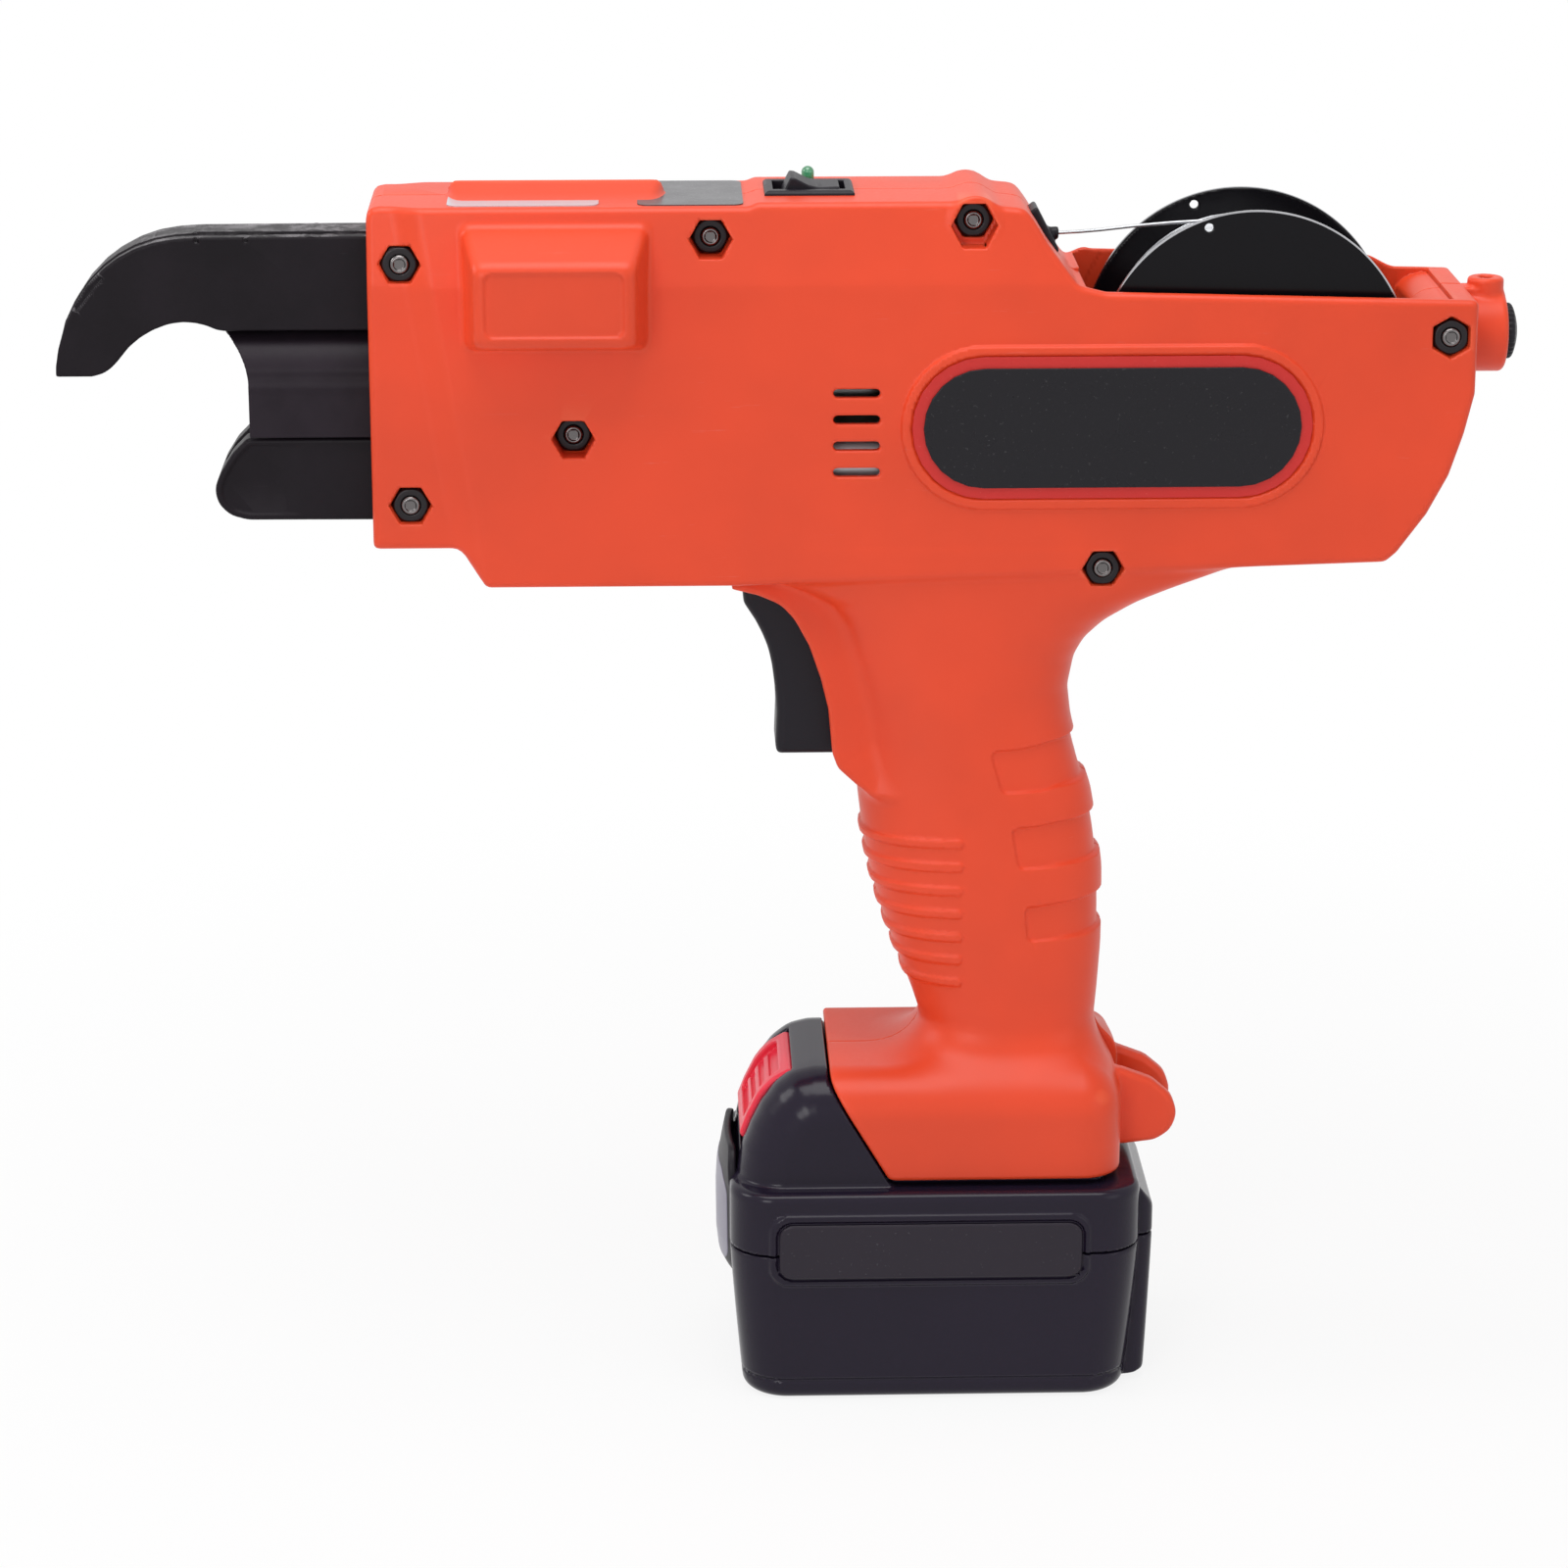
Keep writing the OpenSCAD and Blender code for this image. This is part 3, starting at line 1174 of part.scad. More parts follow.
// Where the back of the fully pulled trigger meets the plunger
plunger_x = trigger_px + trigger_h*(0.236*cos(trigger_pull) + 0.52*sin(trigger_pull)) + 2*gap;
module trigger_switch() {
  y = 0.385*body_w - wall - gap;
  color([0.08, 0.08, 0.09]) {
    box(switch_front + wall, switch_front + 0.4*grip_depth, -0.85*y, 0.85*y,
        trigger_low + 0.36*trigger_h, trigger_low + 0.8*trigger_h);
    rod_x(0, trigger_low + 0.6*trigger_h, 0.25*y, plunger_x, switch_front + 2*wall);
    // Rest for the spring
    box(spring_x1, switch_front + 0.4*grip_depth, -0.5*y, 0.5*y, trigger_low + 0.12*trigger_h,
        trigger_low + 0.4*trigger_h);
  }
}

// Reel
stub_in = 0.3*reel_w;
module reel_spool() {
  color([0.05, 0.05, 0.06]) difference() {
    union() {
      for (s = [-1, 1]) rod_y(
        reel_x, reel_z, reel_r, s < 0 ? -reel_w/2 : reel_w/2 - flange_t,
            s < 0 ? flange_t - reel_w/2 : reel_w/2);
      rod_y(reel_x, reel_z, hub_r, -reel_w/2, reel_w/2);
    }
    rod_y(reel_x, reel_z, stub_r + fit, -body_w, body_w);
    for (i = [0:2]) rotate_about(reel_x, reel_z, 120*i) rod_y(
      reel_x, reel_z + reel_r - 2*wire_d, 1.2*wire_d, -reel_w, -reel_w/2 + flange_t + wire_d);
  }
}
ring_count = 24;
winding_y0 = -loops*loop_pitch/2;
winding_path = [
  for (i = [0:loops*ring_count])
    let(a = 90 + 360*i/ring_count)
      [reel_x + winding_r*cos(a), winding_y0 + loop_pitch*i/ring_count, reel_z + winding_r*sin(a)]
];
// Least gap of the outer layer to itself, from each point to the points one loop on
winding_gap = min([
  for (i = [0:(loops - 1)*ring_count]) norm(winding_path[i + ring_count] - winding_path[i]) - wire_d
]);
module wire_winding() {
  echo(winding_gap = winding_gap);
  color([0.55, 0.56, 0.58]) tube(winding_path, wire_r);
}
// Inner layers as a plain core, just clear of the outer layer
module wire_core() {
  sag = winding_r*(1 - cos(180/ring_count));
  color([0.45, 0.46, 0.48]) difference() {
    rod_y(reel_x, reel_z, winding_r - sag - wire_r - seat, flange_t - reel_w/2, reel_w/2 - flange_t);
    rod_y(reel_x, reel_z, hub_r + fit, -reel_w, reel_w);
  }
}
lead_r = winding_r + wire_d + gap;
lead_angle = atan2(wire_in[2] - reel_z, wire_in[0] - reel_x)
  - acos(lead_r/norm([wire_in[0] - reel_x, wire_in[2] - reel_z]));
module wire_strand() {
  start = [reel_x + lead_r*cos(lead_angle), 0, reel_z + lead_r*sin(lead_angle)];
  mouth = wire_in + [0.3*guide_len, 0, 0];
  bend = [for (f = [0.25, 0.5, 0.75]) let(a = mouth + (start - mouth)*0.12,
      b = wire_in - [guide_len, 0, 0])
    (1 - f)*(1 - f)*a + 2*f*(1 - f)*wire_in + f*f*[b[0], 0, wire_z(b[0])]];
  color([0.72, 0.73, 0.75]) tube(
    concat(
      [start, mouth + (start - mouth)*0.12], bend,
      [for (x = [wire_in[0] - guide_len, 0.5*(wire_in[0] + feed_x), feed_x + feed_r, feed_x - feed_r,
          die_x + die_len/4]) [x, 0, wire_z(x)]]),
    0.94*wire_r);
}
module reel_stub() {
  color([0.5, 0.5, 0.52]) rod_y(reel_x, reel_z, stub_r, -bay_in - wall/2, -reel_w/2 + stub_in);
}
knob_y = bay_in + wall + rim_out + gap;
module reel_release() {
  color([0.08, 0.08, 0.09]) {
    rod_y(reel_x, reel_z, stub_r, reel_w/2 - stub_in, knob_y);
    difference() {
      rod_y(reel_x, reel_z, 1.9*stub_r, knob_y, knob_y + stub_r);
      for (i = [0:7]) rotate_about(reel_x, reel_z, 45*i)
        rod_y(reel_x, reel_z + 2.05*stub_r, 0.4*stub_r, knob_y - overrun, knob_y + body_w);
    }
  }
}

// Battery pack
pack_x0 = -pack_len/2;
pack_x1 = pack_len/2;
pack_y = pack_w/2;
pack_lean = 0.035*pack_len;
shoulder = pack_h - 0.06*base_h;
pack_front = [
  [-pack_y + pack_lean, 0], [pack_y - pack_lean, 0], [pack_y, pack_seam], [pack_y, shoulder - pack_r/2],
  [pack_y - 0.5*pack_r, shoulder], [0.5*pack_r - pack_y, shoulder], [-pack_y, shoulder - pack_r/2],
      [-pack_y, pack_seam]
];
pack_plan = round_box(pack_x0, -pack_y, pack_x1, pack_y, pack_r);
module pack_block(z0, z1, d) {
  intersection() {
    prism_z(inset(pack_plan, d), z0, z1);
    prism_x(inset(pack_front, d), pack_x0, pack_x1);
    prism_y(
      concat(
        arc([pack_x0 + pack_foot_r + d, pack_foot_r + d], pack_foot_r, 180, 270, 5),
        arc([pack_x1 - pack_foot_r - d, pack_foot_r + d], pack_foot_r, 270, 360, 5),
        [[pack_x1 - d, pack_h], [pack_x0 + d, pack_h]]),
      -pack_w, pack_w);
  }
}
module pack_bottom() {
  color([0.17, 0.16, 0.2]) difference() {
    union() {
      pack_block(0, pack_seam, 0);
      // Rear bump
      prism_z(round_box(0, -0.3*pack_w, pack_x1 + 0.05*pack_len, 0.3*pack_w, 0.4*pack_r),
          pack_foot_r/2, pack_seam);
    }
    difference() {
      pack_block(0, pack_h, pack_wall);
      box(-pack_len, pack_len, -pack_w, pack_w, -overrun, pack_wall);
    }
  }
}
hood_x0 = pack_x0 + 0.02*pack_len;
hood_top = base_top;
// Hood outline shares: depth from its front to the base, height from the seam to its top
hood_shares = [
  [0.0, 0.42], [0.05, 0.55], [0.14, 0.68], [0.24, 0.8], [0.34, 0.9], [0.5, 0.98], [0.62, 1.0]
];
hood_d = -base_front - hood_x0;
function hood_point(s) = [hood_x0 + s[0]*hood_d, pack_seam + s[1]*(hood_top - pack_seam)];
hood_side = concat(
  [[pack_x1, pack_seam], [pack_x1, pack_h - gap], [slant_x(pack_h - gap) - 2*gap, pack_h - gap],
    [-base_front - 2*gap, slant_top], [-base_front - 2*gap, hood_top]],
  [for (i = [len(hood_shares) - 1:-1:0]) hood_point(hood_shares[i])],
  [[pack_x0, pack_seam + 0.3*pack_r], [pack_x0, pack_seam]]);
block_w = well_w - gap;
block_top = base_roof - gap;
latch_lean = 24;
latch_base = [hood_x0 + 0.3*hood_d, pack_seam + 0.66*(hood_top - pack_seam)];
module pack_top() {
  color([0.17, 0.16, 0.2]) difference() {
    union() {
      difference() {
        pack_block(pack_seam, shoulder, 0);
        pack_block(pack_seam - overrun, shoulder - pack_wall, pack_wall);
      }
      intersection() {
        prism_y(hood_side, -base_w/2, base_w/2);
        prism_x(round_box(-base_w/2, 0, base_w/2, hood_top, hood_r), pack_x0, pack_x1);
        prism_z(round_box(hood_x0, -base_w/2, pack_len, base_w/2, hood_r), pack_seam, base_top);
        box(pack_x0, pack_x1, -base_w/2, base_w/2, shoulder - pack_wall, base_top);
      }
      box(base_slant - base_front - gap, well_rear - gap, -block_w, block_w, shoulder - pack_wall,
          block_top);
      prism_y(
        [[base_slant - base_front, shoulder], [-base_front, block_top], [base_slant, block_top]],
            -block_w, block_w);
      prism_z(round_box(0, -0.3*pack_w, pack_x1 + 0.05*pack_len, 0.3*pack_w, 0.4*pack_r), pack_seam,
          shoulder - pack_wall);
    }
    // Rail grooves
    for (s = [-1, 1]) box(
      -pack_len, pack_len, s < 0 ? -base_w : block_w - rail_in - gap,
          s < 0 ? gap + rail_in - block_w : base_w,
      rail_z - gap, rail_z + rail_h + gap);
    // Pocket of the latch button, and the slots of the terminals
    latch_pocket();
    for (y = terminal_ys) box(
      well_rear - 0.4*base_rear, base_rear, y - terminal_t, y + terminal_t, rail_z, block_top + overrun);
  }
}
terminal_t = 0.03*pack_w;
terminal_ys = [-0.22*pack_w, 0, 0.22*pack_w];
latch_pitch = latch_travel + gap;
module on_latch() { translate([latch_base[0], 0, latch_base[1]]) rotate([0, latch_lean, 0]) children(); }
latch_h = 0.62*base_h;
latch_d = 0.3*latch_h;
module latch_pocket() {
  on_latch() box(-base_w, latch_d + gap, -latch_w/2 - gap, latch_w/2 + gap, -latch_h/2 - latch_pitch,
      latch_h/2 + gap);
}
module pack_latch() {
  color([0.85, 0.15, 0.2]) on_latch() difference() {
    union() {
      prism_y(
        [
          [latch_d, -latch_h/2], [latch_d, latch_h/2], [0.25*latch_d, latch_h/2],
              [-0.3*latch_d, 0.3*latch_h],
          [-0.55*latch_d, 0], [-0.55*latch_d, -0.3*latch_h], [-0.3*latch_d, -latch_h/2]
        ],
        -latch_w/2, latch_w/2);
    }
    // Thumb hollow with ribs left standing
    box(-latch_h, -0.25*latch_d, -0.36*latch_w, 0.36*latch_w, -0.25*latch_h, 0.22*latch_h);
  }
  color([0.85, 0.15, 0.2]) on_latch() for (i = [-1, 0, 1]) box(
    -0.5*latch_d, -0.2*latch_d, -0.36*latch_w, 0.36*latch_w, (0.15*i - 0.05)*latch_h,
        (0.15*i + 0.03)*latch_h);
}
module pull_lip() {
  x = pack_x0 - 0.025*pack_len;
  t = pack_wall;
  top = pack_seam + 0.6*(hood_top - pack_seam);
  color([0.12, 0.12, 0.14]) prism_y(
    [
      [pack_x0, 0.42*pack_seam], [x + t/2, 0.5*pack_seam], [x, 0.6*pack_seam], [x - t/4, 1.2*pack_seam],
      [x + t/2, top], [x + 1.4*t, top - t/2], [x + 0.7*t, 1.2*pack_seam],
          [x + 0.8*t, 1.04*pack_seam], [pack_x0, pack_seam]
    ],
    -0.3*pack_w, 0.3*pack_w);
}
plate_lift = 0.4*pack_wall;
module pack_plates() {
  color([0.2, 0.2, 0.22]) for (s = [-1, 1]) {
    y = s*pack_y;
    prism_y(
      round_box(pack_x0 + 0.117*pack_len, 0.87*pack_seam + overrun, pack_x0 + 0.85*pack_len,
          1.22*pack_seam, pack_wall),
      s < 0 ? y - plate_lift : y, s < 0 ? y : y + plate_lift);
  }
}
module pack_cells() {
  color([0.2, 0.4, 0.65]) for (i = [-1, 0, 1], j = [0, 1]) rod_x(
    i*(2*cell_r + seat), pack_wall + cell_r + seat + j*(2*cell_r + seat), cell_r, -cell_len/2,
        cell_len/2);
}
module pack_terminals() {
  color([0.8, 0.7, 0.4]) for (y = terminal_ys) box(
    well_rear - 0.38*base_rear, well_rear - 0.1*base_rear, y - terminal_t/4 - terminal_t/2,
        y - terminal_t/4, rail_z, block_top - gap);
}
module block_seat(d) {
  box(0.2*base_rear - d, 0.8*base_rear + d, -0.3*pack_w - d, 0.3*pack_w + d, base_roof - d,
      base_roof + wall/2 + d);
}
module terminal_block() {
  color([0.08, 0.08, 0.09]) block_seat(0);
  color([0.8, 0.7, 0.4]) for (y = terminal_ys) box(
    0.56*base_rear, 0.78*base_rear, y + gap/3, y + gap/3 + terminal_t/2, rail_z + rail_h,
        base_roof + wall/4);
}

casing_left();
casing_right();
casing_bolts();
casing_nuts();
badge_border();
badge_plate();
top_labels();
switch_body();
rocker();
status_led();
wire_guide();
tail_boss();
torque_pot();
torque_dial();
strap_pin();
curl_guide_core();
curl_guide_plates();
guide_rivets();
nose_barrel();
lower_jaw();
front_plate();
middle_plate();
motor_plate();
twist_motor();
motor_pinion();
spindle_gear();
spindle();
sleeve();
hook_left();
hook_right();
hook_pins();
feed_motor();
feed_pinion();
feed_gear();
feed_shaft();
feed_wheel();
pinch_wheel();
pinch_pin();
feed_bracket();
cutter_die();
cutter_blade();
control_board();
trigger();
trigger_pin();
trigger_spring();
trigger_switch();
reel_spool();
wire_core();
wire_winding();
wire_strand();
reel_stub();
reel_release();
pack_bottom();
pack_top();
pack_latch();
pull_lip();
pack_plates();
pack_cells();
pack_terminals();
terminal_block();
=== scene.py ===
import json
import math
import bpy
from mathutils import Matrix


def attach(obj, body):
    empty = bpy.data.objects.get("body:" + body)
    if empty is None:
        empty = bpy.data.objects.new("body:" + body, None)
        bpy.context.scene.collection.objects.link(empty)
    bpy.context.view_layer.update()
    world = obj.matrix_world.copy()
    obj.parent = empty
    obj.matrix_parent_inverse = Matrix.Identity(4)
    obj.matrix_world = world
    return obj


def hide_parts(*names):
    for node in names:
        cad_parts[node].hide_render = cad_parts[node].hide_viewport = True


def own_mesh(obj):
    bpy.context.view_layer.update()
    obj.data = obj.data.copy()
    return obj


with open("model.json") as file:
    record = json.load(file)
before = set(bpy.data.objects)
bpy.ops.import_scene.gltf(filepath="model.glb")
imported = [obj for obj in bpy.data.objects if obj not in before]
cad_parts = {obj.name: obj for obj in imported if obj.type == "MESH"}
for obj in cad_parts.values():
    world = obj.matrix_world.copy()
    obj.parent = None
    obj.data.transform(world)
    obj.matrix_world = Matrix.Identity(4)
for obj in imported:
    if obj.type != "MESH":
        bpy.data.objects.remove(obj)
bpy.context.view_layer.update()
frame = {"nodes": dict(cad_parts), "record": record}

from concurrent.futures import ThreadPoolExecutor
import bpy
import bmesh
import numpy as np
from mathutils import Vector

nodes = frame["nodes"]
MM, SIN_60 = 0.001, 0.8660254
# Lattice of the casing, and the cubes along a side of the blocks that are tried first
CASING_STEP, BLOCK = 0.62, 6
# A block is worked out where the surface is within this many of its sides; a point moves by at most
# this share of a cube
REACH, STRIDE = 1.15, 0.45
# Flat faces are joined in tiles of this side, numbered by these steps along X, Y and Z, up to this angle
TILE, TILE_STEPS, FLAT = 12, (1, 29, 29*7), math.radians(0.35)


# Solids as distance fields, in millimetres.
# A field gives each point's distance to the surface, negative inside. Fields are whole arrays.

def smin(a, b, k):
    """Union with a fillet of about k: the lesser distance, rounded by a parabola where they are close."""
    h = np.clip(0.5 + 0.5*(b - a)/k, 0, 1)
    return b + (a - b)*h - k*h*(1 - h)


def smax(a, b, k):
    """Intersection with an edge rounded by about k."""
    return -smin(-a, -b, k)


def cut(a, b, k=0.4):
    """a with b taken away, its edges rounded by about k."""
    return smax(a, -b, k)


def corner(d, w, r):
    """Where two walls meet: their distances d and w, with an edge of radius r."""
    d, w = d + r, w + r
    return np.minimum(np.maximum(d, w), 0) + np.hypot(np.maximum(d, 0), np.maximum(w, 0)) - r


def slab(t, a, b):
    """Distance to the layer from a to b along one axis."""
    return np.abs(t - (a + b)/2) - (b - a)/2


def block(x, y, z, lo, hi, r=0.5):
    """Box between two corners with edges of radius r."""
    q = [slab(t, a, b) + r for t, a, b in zip((x, y, z), lo, hi)]
    m = [np.maximum(t, 0) for t in q]
    outside = np.sqrt(m[0]**2 + m[1]**2 + m[2]**2)
    return np.minimum(np.maximum(np.maximum(q[0], q[1]), q[2]), 0) + outside - r


def rod(u, v, t, c, r, a, b, e=0.3):
    """Rod of radius r round the centre c of the (u, v) plane, from a to b along t, end edges e."""
    return corner(np.hypot(u - c[0], v - c[1]) - r, slab(t, a, b), e)


def hexagon(u, v, c, af, turn=0.0):
    """Distance to a hexagon by its width across flats; unturned, its flats lie up and down."""
    a = math.radians(turn)
    u, v = u - c[0], v - c[1]
    u, v = np.abs(u*math.cos(a) + v*math.sin(a)), np.abs(v*math.cos(a) - u*math.sin(a))
    return np.maximum(v, SIN_60*u + 0.5*v) - af/2


def stadium(u, v, c, length, height):
    """Distance to a bar with round ends."""
    return np.hypot(np.maximum(np.abs(u - c[0]) - (length - height)/2, 0), v - c[1]) - height/2


def outline(u, v, points):
    """Distance to a polygon: the nearest edge's distance, with the sign from the crossing rule."""
    p = np.asarray(points, np.float32)
    d = np.full(u.shape, 1e9, np.float32)
    inside = np.zeros(u.shape, bool)
    for a, b in zip(p, np.roll(p, -1, 0)):
        e = b - a
        wu, wv = u - a[0], v - a[1]
        t = np.clip((wu*e[0] + wv*e[1])/(e[0]**2 + e[1]**2), 0, 1)
        np.minimum(d, (wu - t*e[0])**2 + (wv - t*e[1])**2, out=d)
        if e[1] != 0:
            inside ^= ((v < a[1]) != (v < b[1])) & (wu < wv*e[0]/e[1])
    return np.where(inside, -1, 1)*np.sqrt(d)


def rounded(points, radii, n=5):
    """Polygon with its corners rounded: each corner becomes n points of a curve tangent to its sides."""
    out = []
    for i, p in enumerate(np.asarray(points, float)):
        r = radii[i] if np.ndim(radii) else radii
        a, b = np.asarray(points[i - 1], float) - p, np.asarray(points[(i + 1) % len(points)], float) - p
        la, lb = np.linalg.norm(a), np.linalg.norm(b)
        a, b = a/la, b/lb
        half = math.acos(np.clip(a @ b, -1, 1))/2
        t = min(r/math.tan(half), 0.49*la, 0.49*lb)
        s = np.linspace(0, 1, n)[:, None]
        # quadratic curve from one side to the other, close to an arc of radius r
        out.append((1 - s)**2*(p + a*t) + 2*s*(1 - s)*p + s**2*(p + b*t) if r > 0 else p[None])
    return np.concatenate(out)


def plan(points, margin=16, h=0.25):
    """Outline as a table: its distance on a fine grid, read between the points by the bilinear rule."""
    lo = points.min(0) - margin
    n = ((points.max(0) + margin - lo)/h).astype(int) + 2
    gu, gv = np.meshgrid(lo[0] + h*np.arange(n[0]), lo[1] + h*np.arange(n[1]), indexing="ij")
    T = outline(gu.ravel(), gv.ravel(), points).reshape(n).astype(np.float32)

    def read(u, v):
        a, b = np.clip((u - lo[0])/h, 0, n[0] - 1.01), np.clip((v - lo[1])/h, 0, n[1] - 1.01)
        i, j = a.astype(int), b.astype(int)
        a, b = a - i, b - j
        return (T[i, j]*(1 - a) + T[i + 1, j]*a)*(1 - b) + (T[i, j + 1]*(1 - a) + T[i + 1, j + 1]*a)*b
    return read


def step(t, a, b):
    """Smooth rise from 0 at a to 1 at b."""
    t = np.clip((t - a)/(b - a), 0, 1)
    return t*t*(3 - 2*t)


def sample(f, x, y, z):
    """Field at many points, worked out in shares side by side."""
    ends = np.linspace(0, len(x), 17).astype(int)
    with ThreadPoolExecutor(4) as pool:
        return np.concatenate(list(pool.map(
            lambda a, b: f(x[a:b], y[a:b], z[a:b]), ends[:-1], ends[1:])))


def gradient(f, p, e=0.12):
    """Slope of a field at points, by central differences."""
    g = np.empty_like(p)
    for k in range(3):
        q, r = p.copy(), p.copy()
        q[:, k] += e
        r[:, k] -= e
        g[:, k] = (sample(f, *q.T) - sample(f, *r.T))/(2*e)
    return g


def skin(f, lo, hi, h):
    """Surface of a field inside a box, on cubes of side h: one point for each cube that the surface
    crosses, at the mean of the crossings of its edges, then moved along the slope onto the surface,
    and one quad for each edge of the lattice that changes sign."""
    lo, hi = np.asarray(lo, float), np.asarray(hi, float)
    nb = np.ceil((hi - lo)/(h*BLOCK)).astype(int)
    n = nb*BLOCK + 1
    axes = [lo[k] + h*np.arange(n[k]) for k in range(3)]
    mid = [lo[k] + h*BLOCK*(np.arange(nb[k]) + 0.5) for k in range(3)]
    c = np.meshgrid(*mid, indexing="ij")
    coarse = sample(f, *[t.ravel().astype(np.float32) for t in c]).reshape(nb)
    up = [np.minimum(np.arange(n[k])//BLOCK, nb[k] - 1) for k in range(3)]
    F = coarse[np.ix_(*up)].astype(np.float32)
    near = np.abs(coarse) < REACH*h*BLOCK
    grow = near.copy()
    for k in range(3):
        s = [slice(None)]*3
        t = [slice(None)]*3
        s[k], t[k] = slice(1, None), slice(None, -1)
        grow[tuple(s)] |= near[tuple(t)]
        grow[tuple(t)] |= near[tuple(s)]
    at = np.nonzero(grow[np.ix_(*up)])
    F[at] = sample(f, *[axes[k][at[k]].astype(np.float32) for k in range(3)])
    S = F < 0
    m = n - 1
    corners = [np.array([i, j, k]) for i in (0, 1) for j in (0, 1) for k in (0, 1)]
    part = lambda A, o: A[o[0]:o[0] + m[0], o[1]:o[1] + m[1], o[2]:o[2] + m[2]]
    count = sum(part(S, o).astype(np.int8) for o in corners)
    cells = np.nonzero((count > 0) & (count < 8))
    index = np.full(m, -1)
    index[cells] = np.arange(len(cells[0]))
    total = np.zeros((len(cells[0]), 3))
    hits = np.zeros(len(cells[0]))
    for o in corners:
        for k in range(3):
            if o[k]:
                continue
            q = o.copy()
            q[k] = 1
            a, b = part(F, o)[cells], part(F, q)[cells]
            crossed = (a < 0) != (b < 0)
            t = np.where(crossed, a/np.where(crossed, a - b, 1), 0)
            total += crossed[:, None]*o + (crossed*t)[:, None]*(q - o)
            hits += crossed
    p = lo + h*(np.stack(cells, 1) + total/hits[:, None])
    quads = []
    for k in range(3):
        u, v = (k + 1) % 3, (k + 2) % 3
        a = [slice(1, m[i]) for i in range(3)]
        a[k] = slice(0, m[k])
        b = list(a)
        b[k] = slice(1, m[k] + 1)
        flip = S[tuple(a)] != S[tuple(b)]
        e = np.stack(np.nonzero(flip), 1)
        first = S[tuple(a)][flip]
        e[:, u] += 1
        e[:, v] += 1
        ring = []
        for du, dv in ((-1, -1), (0, -1), (0, 0), (-1, 0)):
            q = e.copy()
            q[:, u] += du
            q[:, v] += dv
            ring.append(index[tuple(q.T)])
        ring = np.stack(ring, 1)
        quads.append(np.where(first[:, None], ring, ring[:, ::-1]))
    for _ in range(2):
        g = gradient(f, p)
        move = sample(f, *p.T)[:, None]*g/np.maximum((g*g).sum(1), 0.2)[:, None]
        p -= np.clip(move, -STRIDE*h, STRIDE*h)
    return p, np.concatenate(quads)


def place(name, body, slot, mesh, replaces=(), material=None):
    """Object at the origin from a finished mesh, riding on a body, in its slot's finish or another."""
    o = bpy.data.objects.new(name, mesh)
    bpy.context.scene.collection.objects.link(o)
    mesh.materials.append(material or finishes[slot])
    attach(o, body)
    if replaces:
        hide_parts(*replaces)
    return o


def solid(name, f, lo, hi, h, body, slot, replaces=(), wear=1.2, spots=None, material=None):
    """Piece from a field. Flat stretches become single faces, normals are the field's slope, and the
    attribute wear is 1 on outer edges: there the field rises fastest on the way in. A piece that stands at
    several spots is made once and repeated."""
    p, quads = skin(f, lo, hi, h)
    if spots is not None:
        one, n, spots = f, len(p), np.asarray(spots, float)
        quads = (quads[None] + n*np.arange(len(spots))[:, None, None]).reshape(-1, 4)
        p = (p[None] + spots[:, None]).reshape(-1, 3)
        f = lambda x, y, z: np.minimum.reduce([one(x - a, y - b, z - c) for a, b, c in spots])
        lo = p.min(0)
    mesh = bpy.data.meshes.new(name)
    mesh.from_pydata(p*MM, [], quads)
    # flat stretches are joined tile by tile, which is far quicker than all at once
    tile = np.floor((p[quads].mean(1) - lo)/TILE).astype(int) @ TILE_STEPS
    mesh.polygons.foreach_set("material_index", tile.astype(np.int32))
    b = bmesh.new()
    b.from_mesh(mesh)
    bmesh.ops.dissolve_limit(b, angle_limit=FLAT, verts=b.verts, edges=b.edges, delimit={"MATERIAL"})
    b.to_mesh(mesh)
    b.free()
    mesh.polygons.foreach_set("material_index", np.zeros(len(mesh.polygons), np.int32))
    co = np.empty(len(mesh.vertices)*3, np.float32)
    mesh.vertices.foreach_get("co", co)
    co = co.reshape(-1, 3).astype(float)/MM
    g = gradient(f, co)
    g /= np.maximum(np.linalg.norm(g, axis=1), 1e-6)[:, None]
    edge = np.clip((sample(f, *(co - wear*g).T) + wear)/wear, 0, 1)
    mesh.attributes.new("wear", "FLOAT", "POINT").data.foreach_set("value", edge.astype(np.float32))
    mesh.shade_smooth()
    mesh.normals_split_custom_set_from_vertices(g.tolist())
    return place(name, body, slot, mesh, replaces, material)


class Signal:
    """A shader socket in Python expressions: each operation adds its Math node."""

    def __init__(self, finish, socket):
        self.finish, self.socket = finish, socket

    def math(self, operation, *values):
        return self.finish.node("ShaderNodeMath", {"operation": operation}, dict(enumerate(values)))

    def __add__(self, b): return self.math("ADD", self, b)
    def __radd__(self, b): return self.math("ADD", b, self)
    def __sub__(self, b): return self.math("SUBTRACT", self, b)
    def __rsub__(self, b): return self.math("SUBTRACT", b, self)
    def __mul__(self, b): return self.math("MULTIPLY", self, b)
    def __rmul__(self, b): return self.math("MULTIPLY", b, self)
    def __pow__(self, b): return self.math("POWER", self, b)
    def least(self, b): return self.math("MINIMUM", self, b)
    def most(self, b): return self.math("MAXIMUM", self, b)

    def between(self, a, b):
        """0 below a, 1 above b, smooth between them."""
        return self.finish.node("ShaderNodeMapRange", {"interpolation_type": "SMOOTHSTEP"},
                                {"Value": self, "From Min": a, "From Max": b})


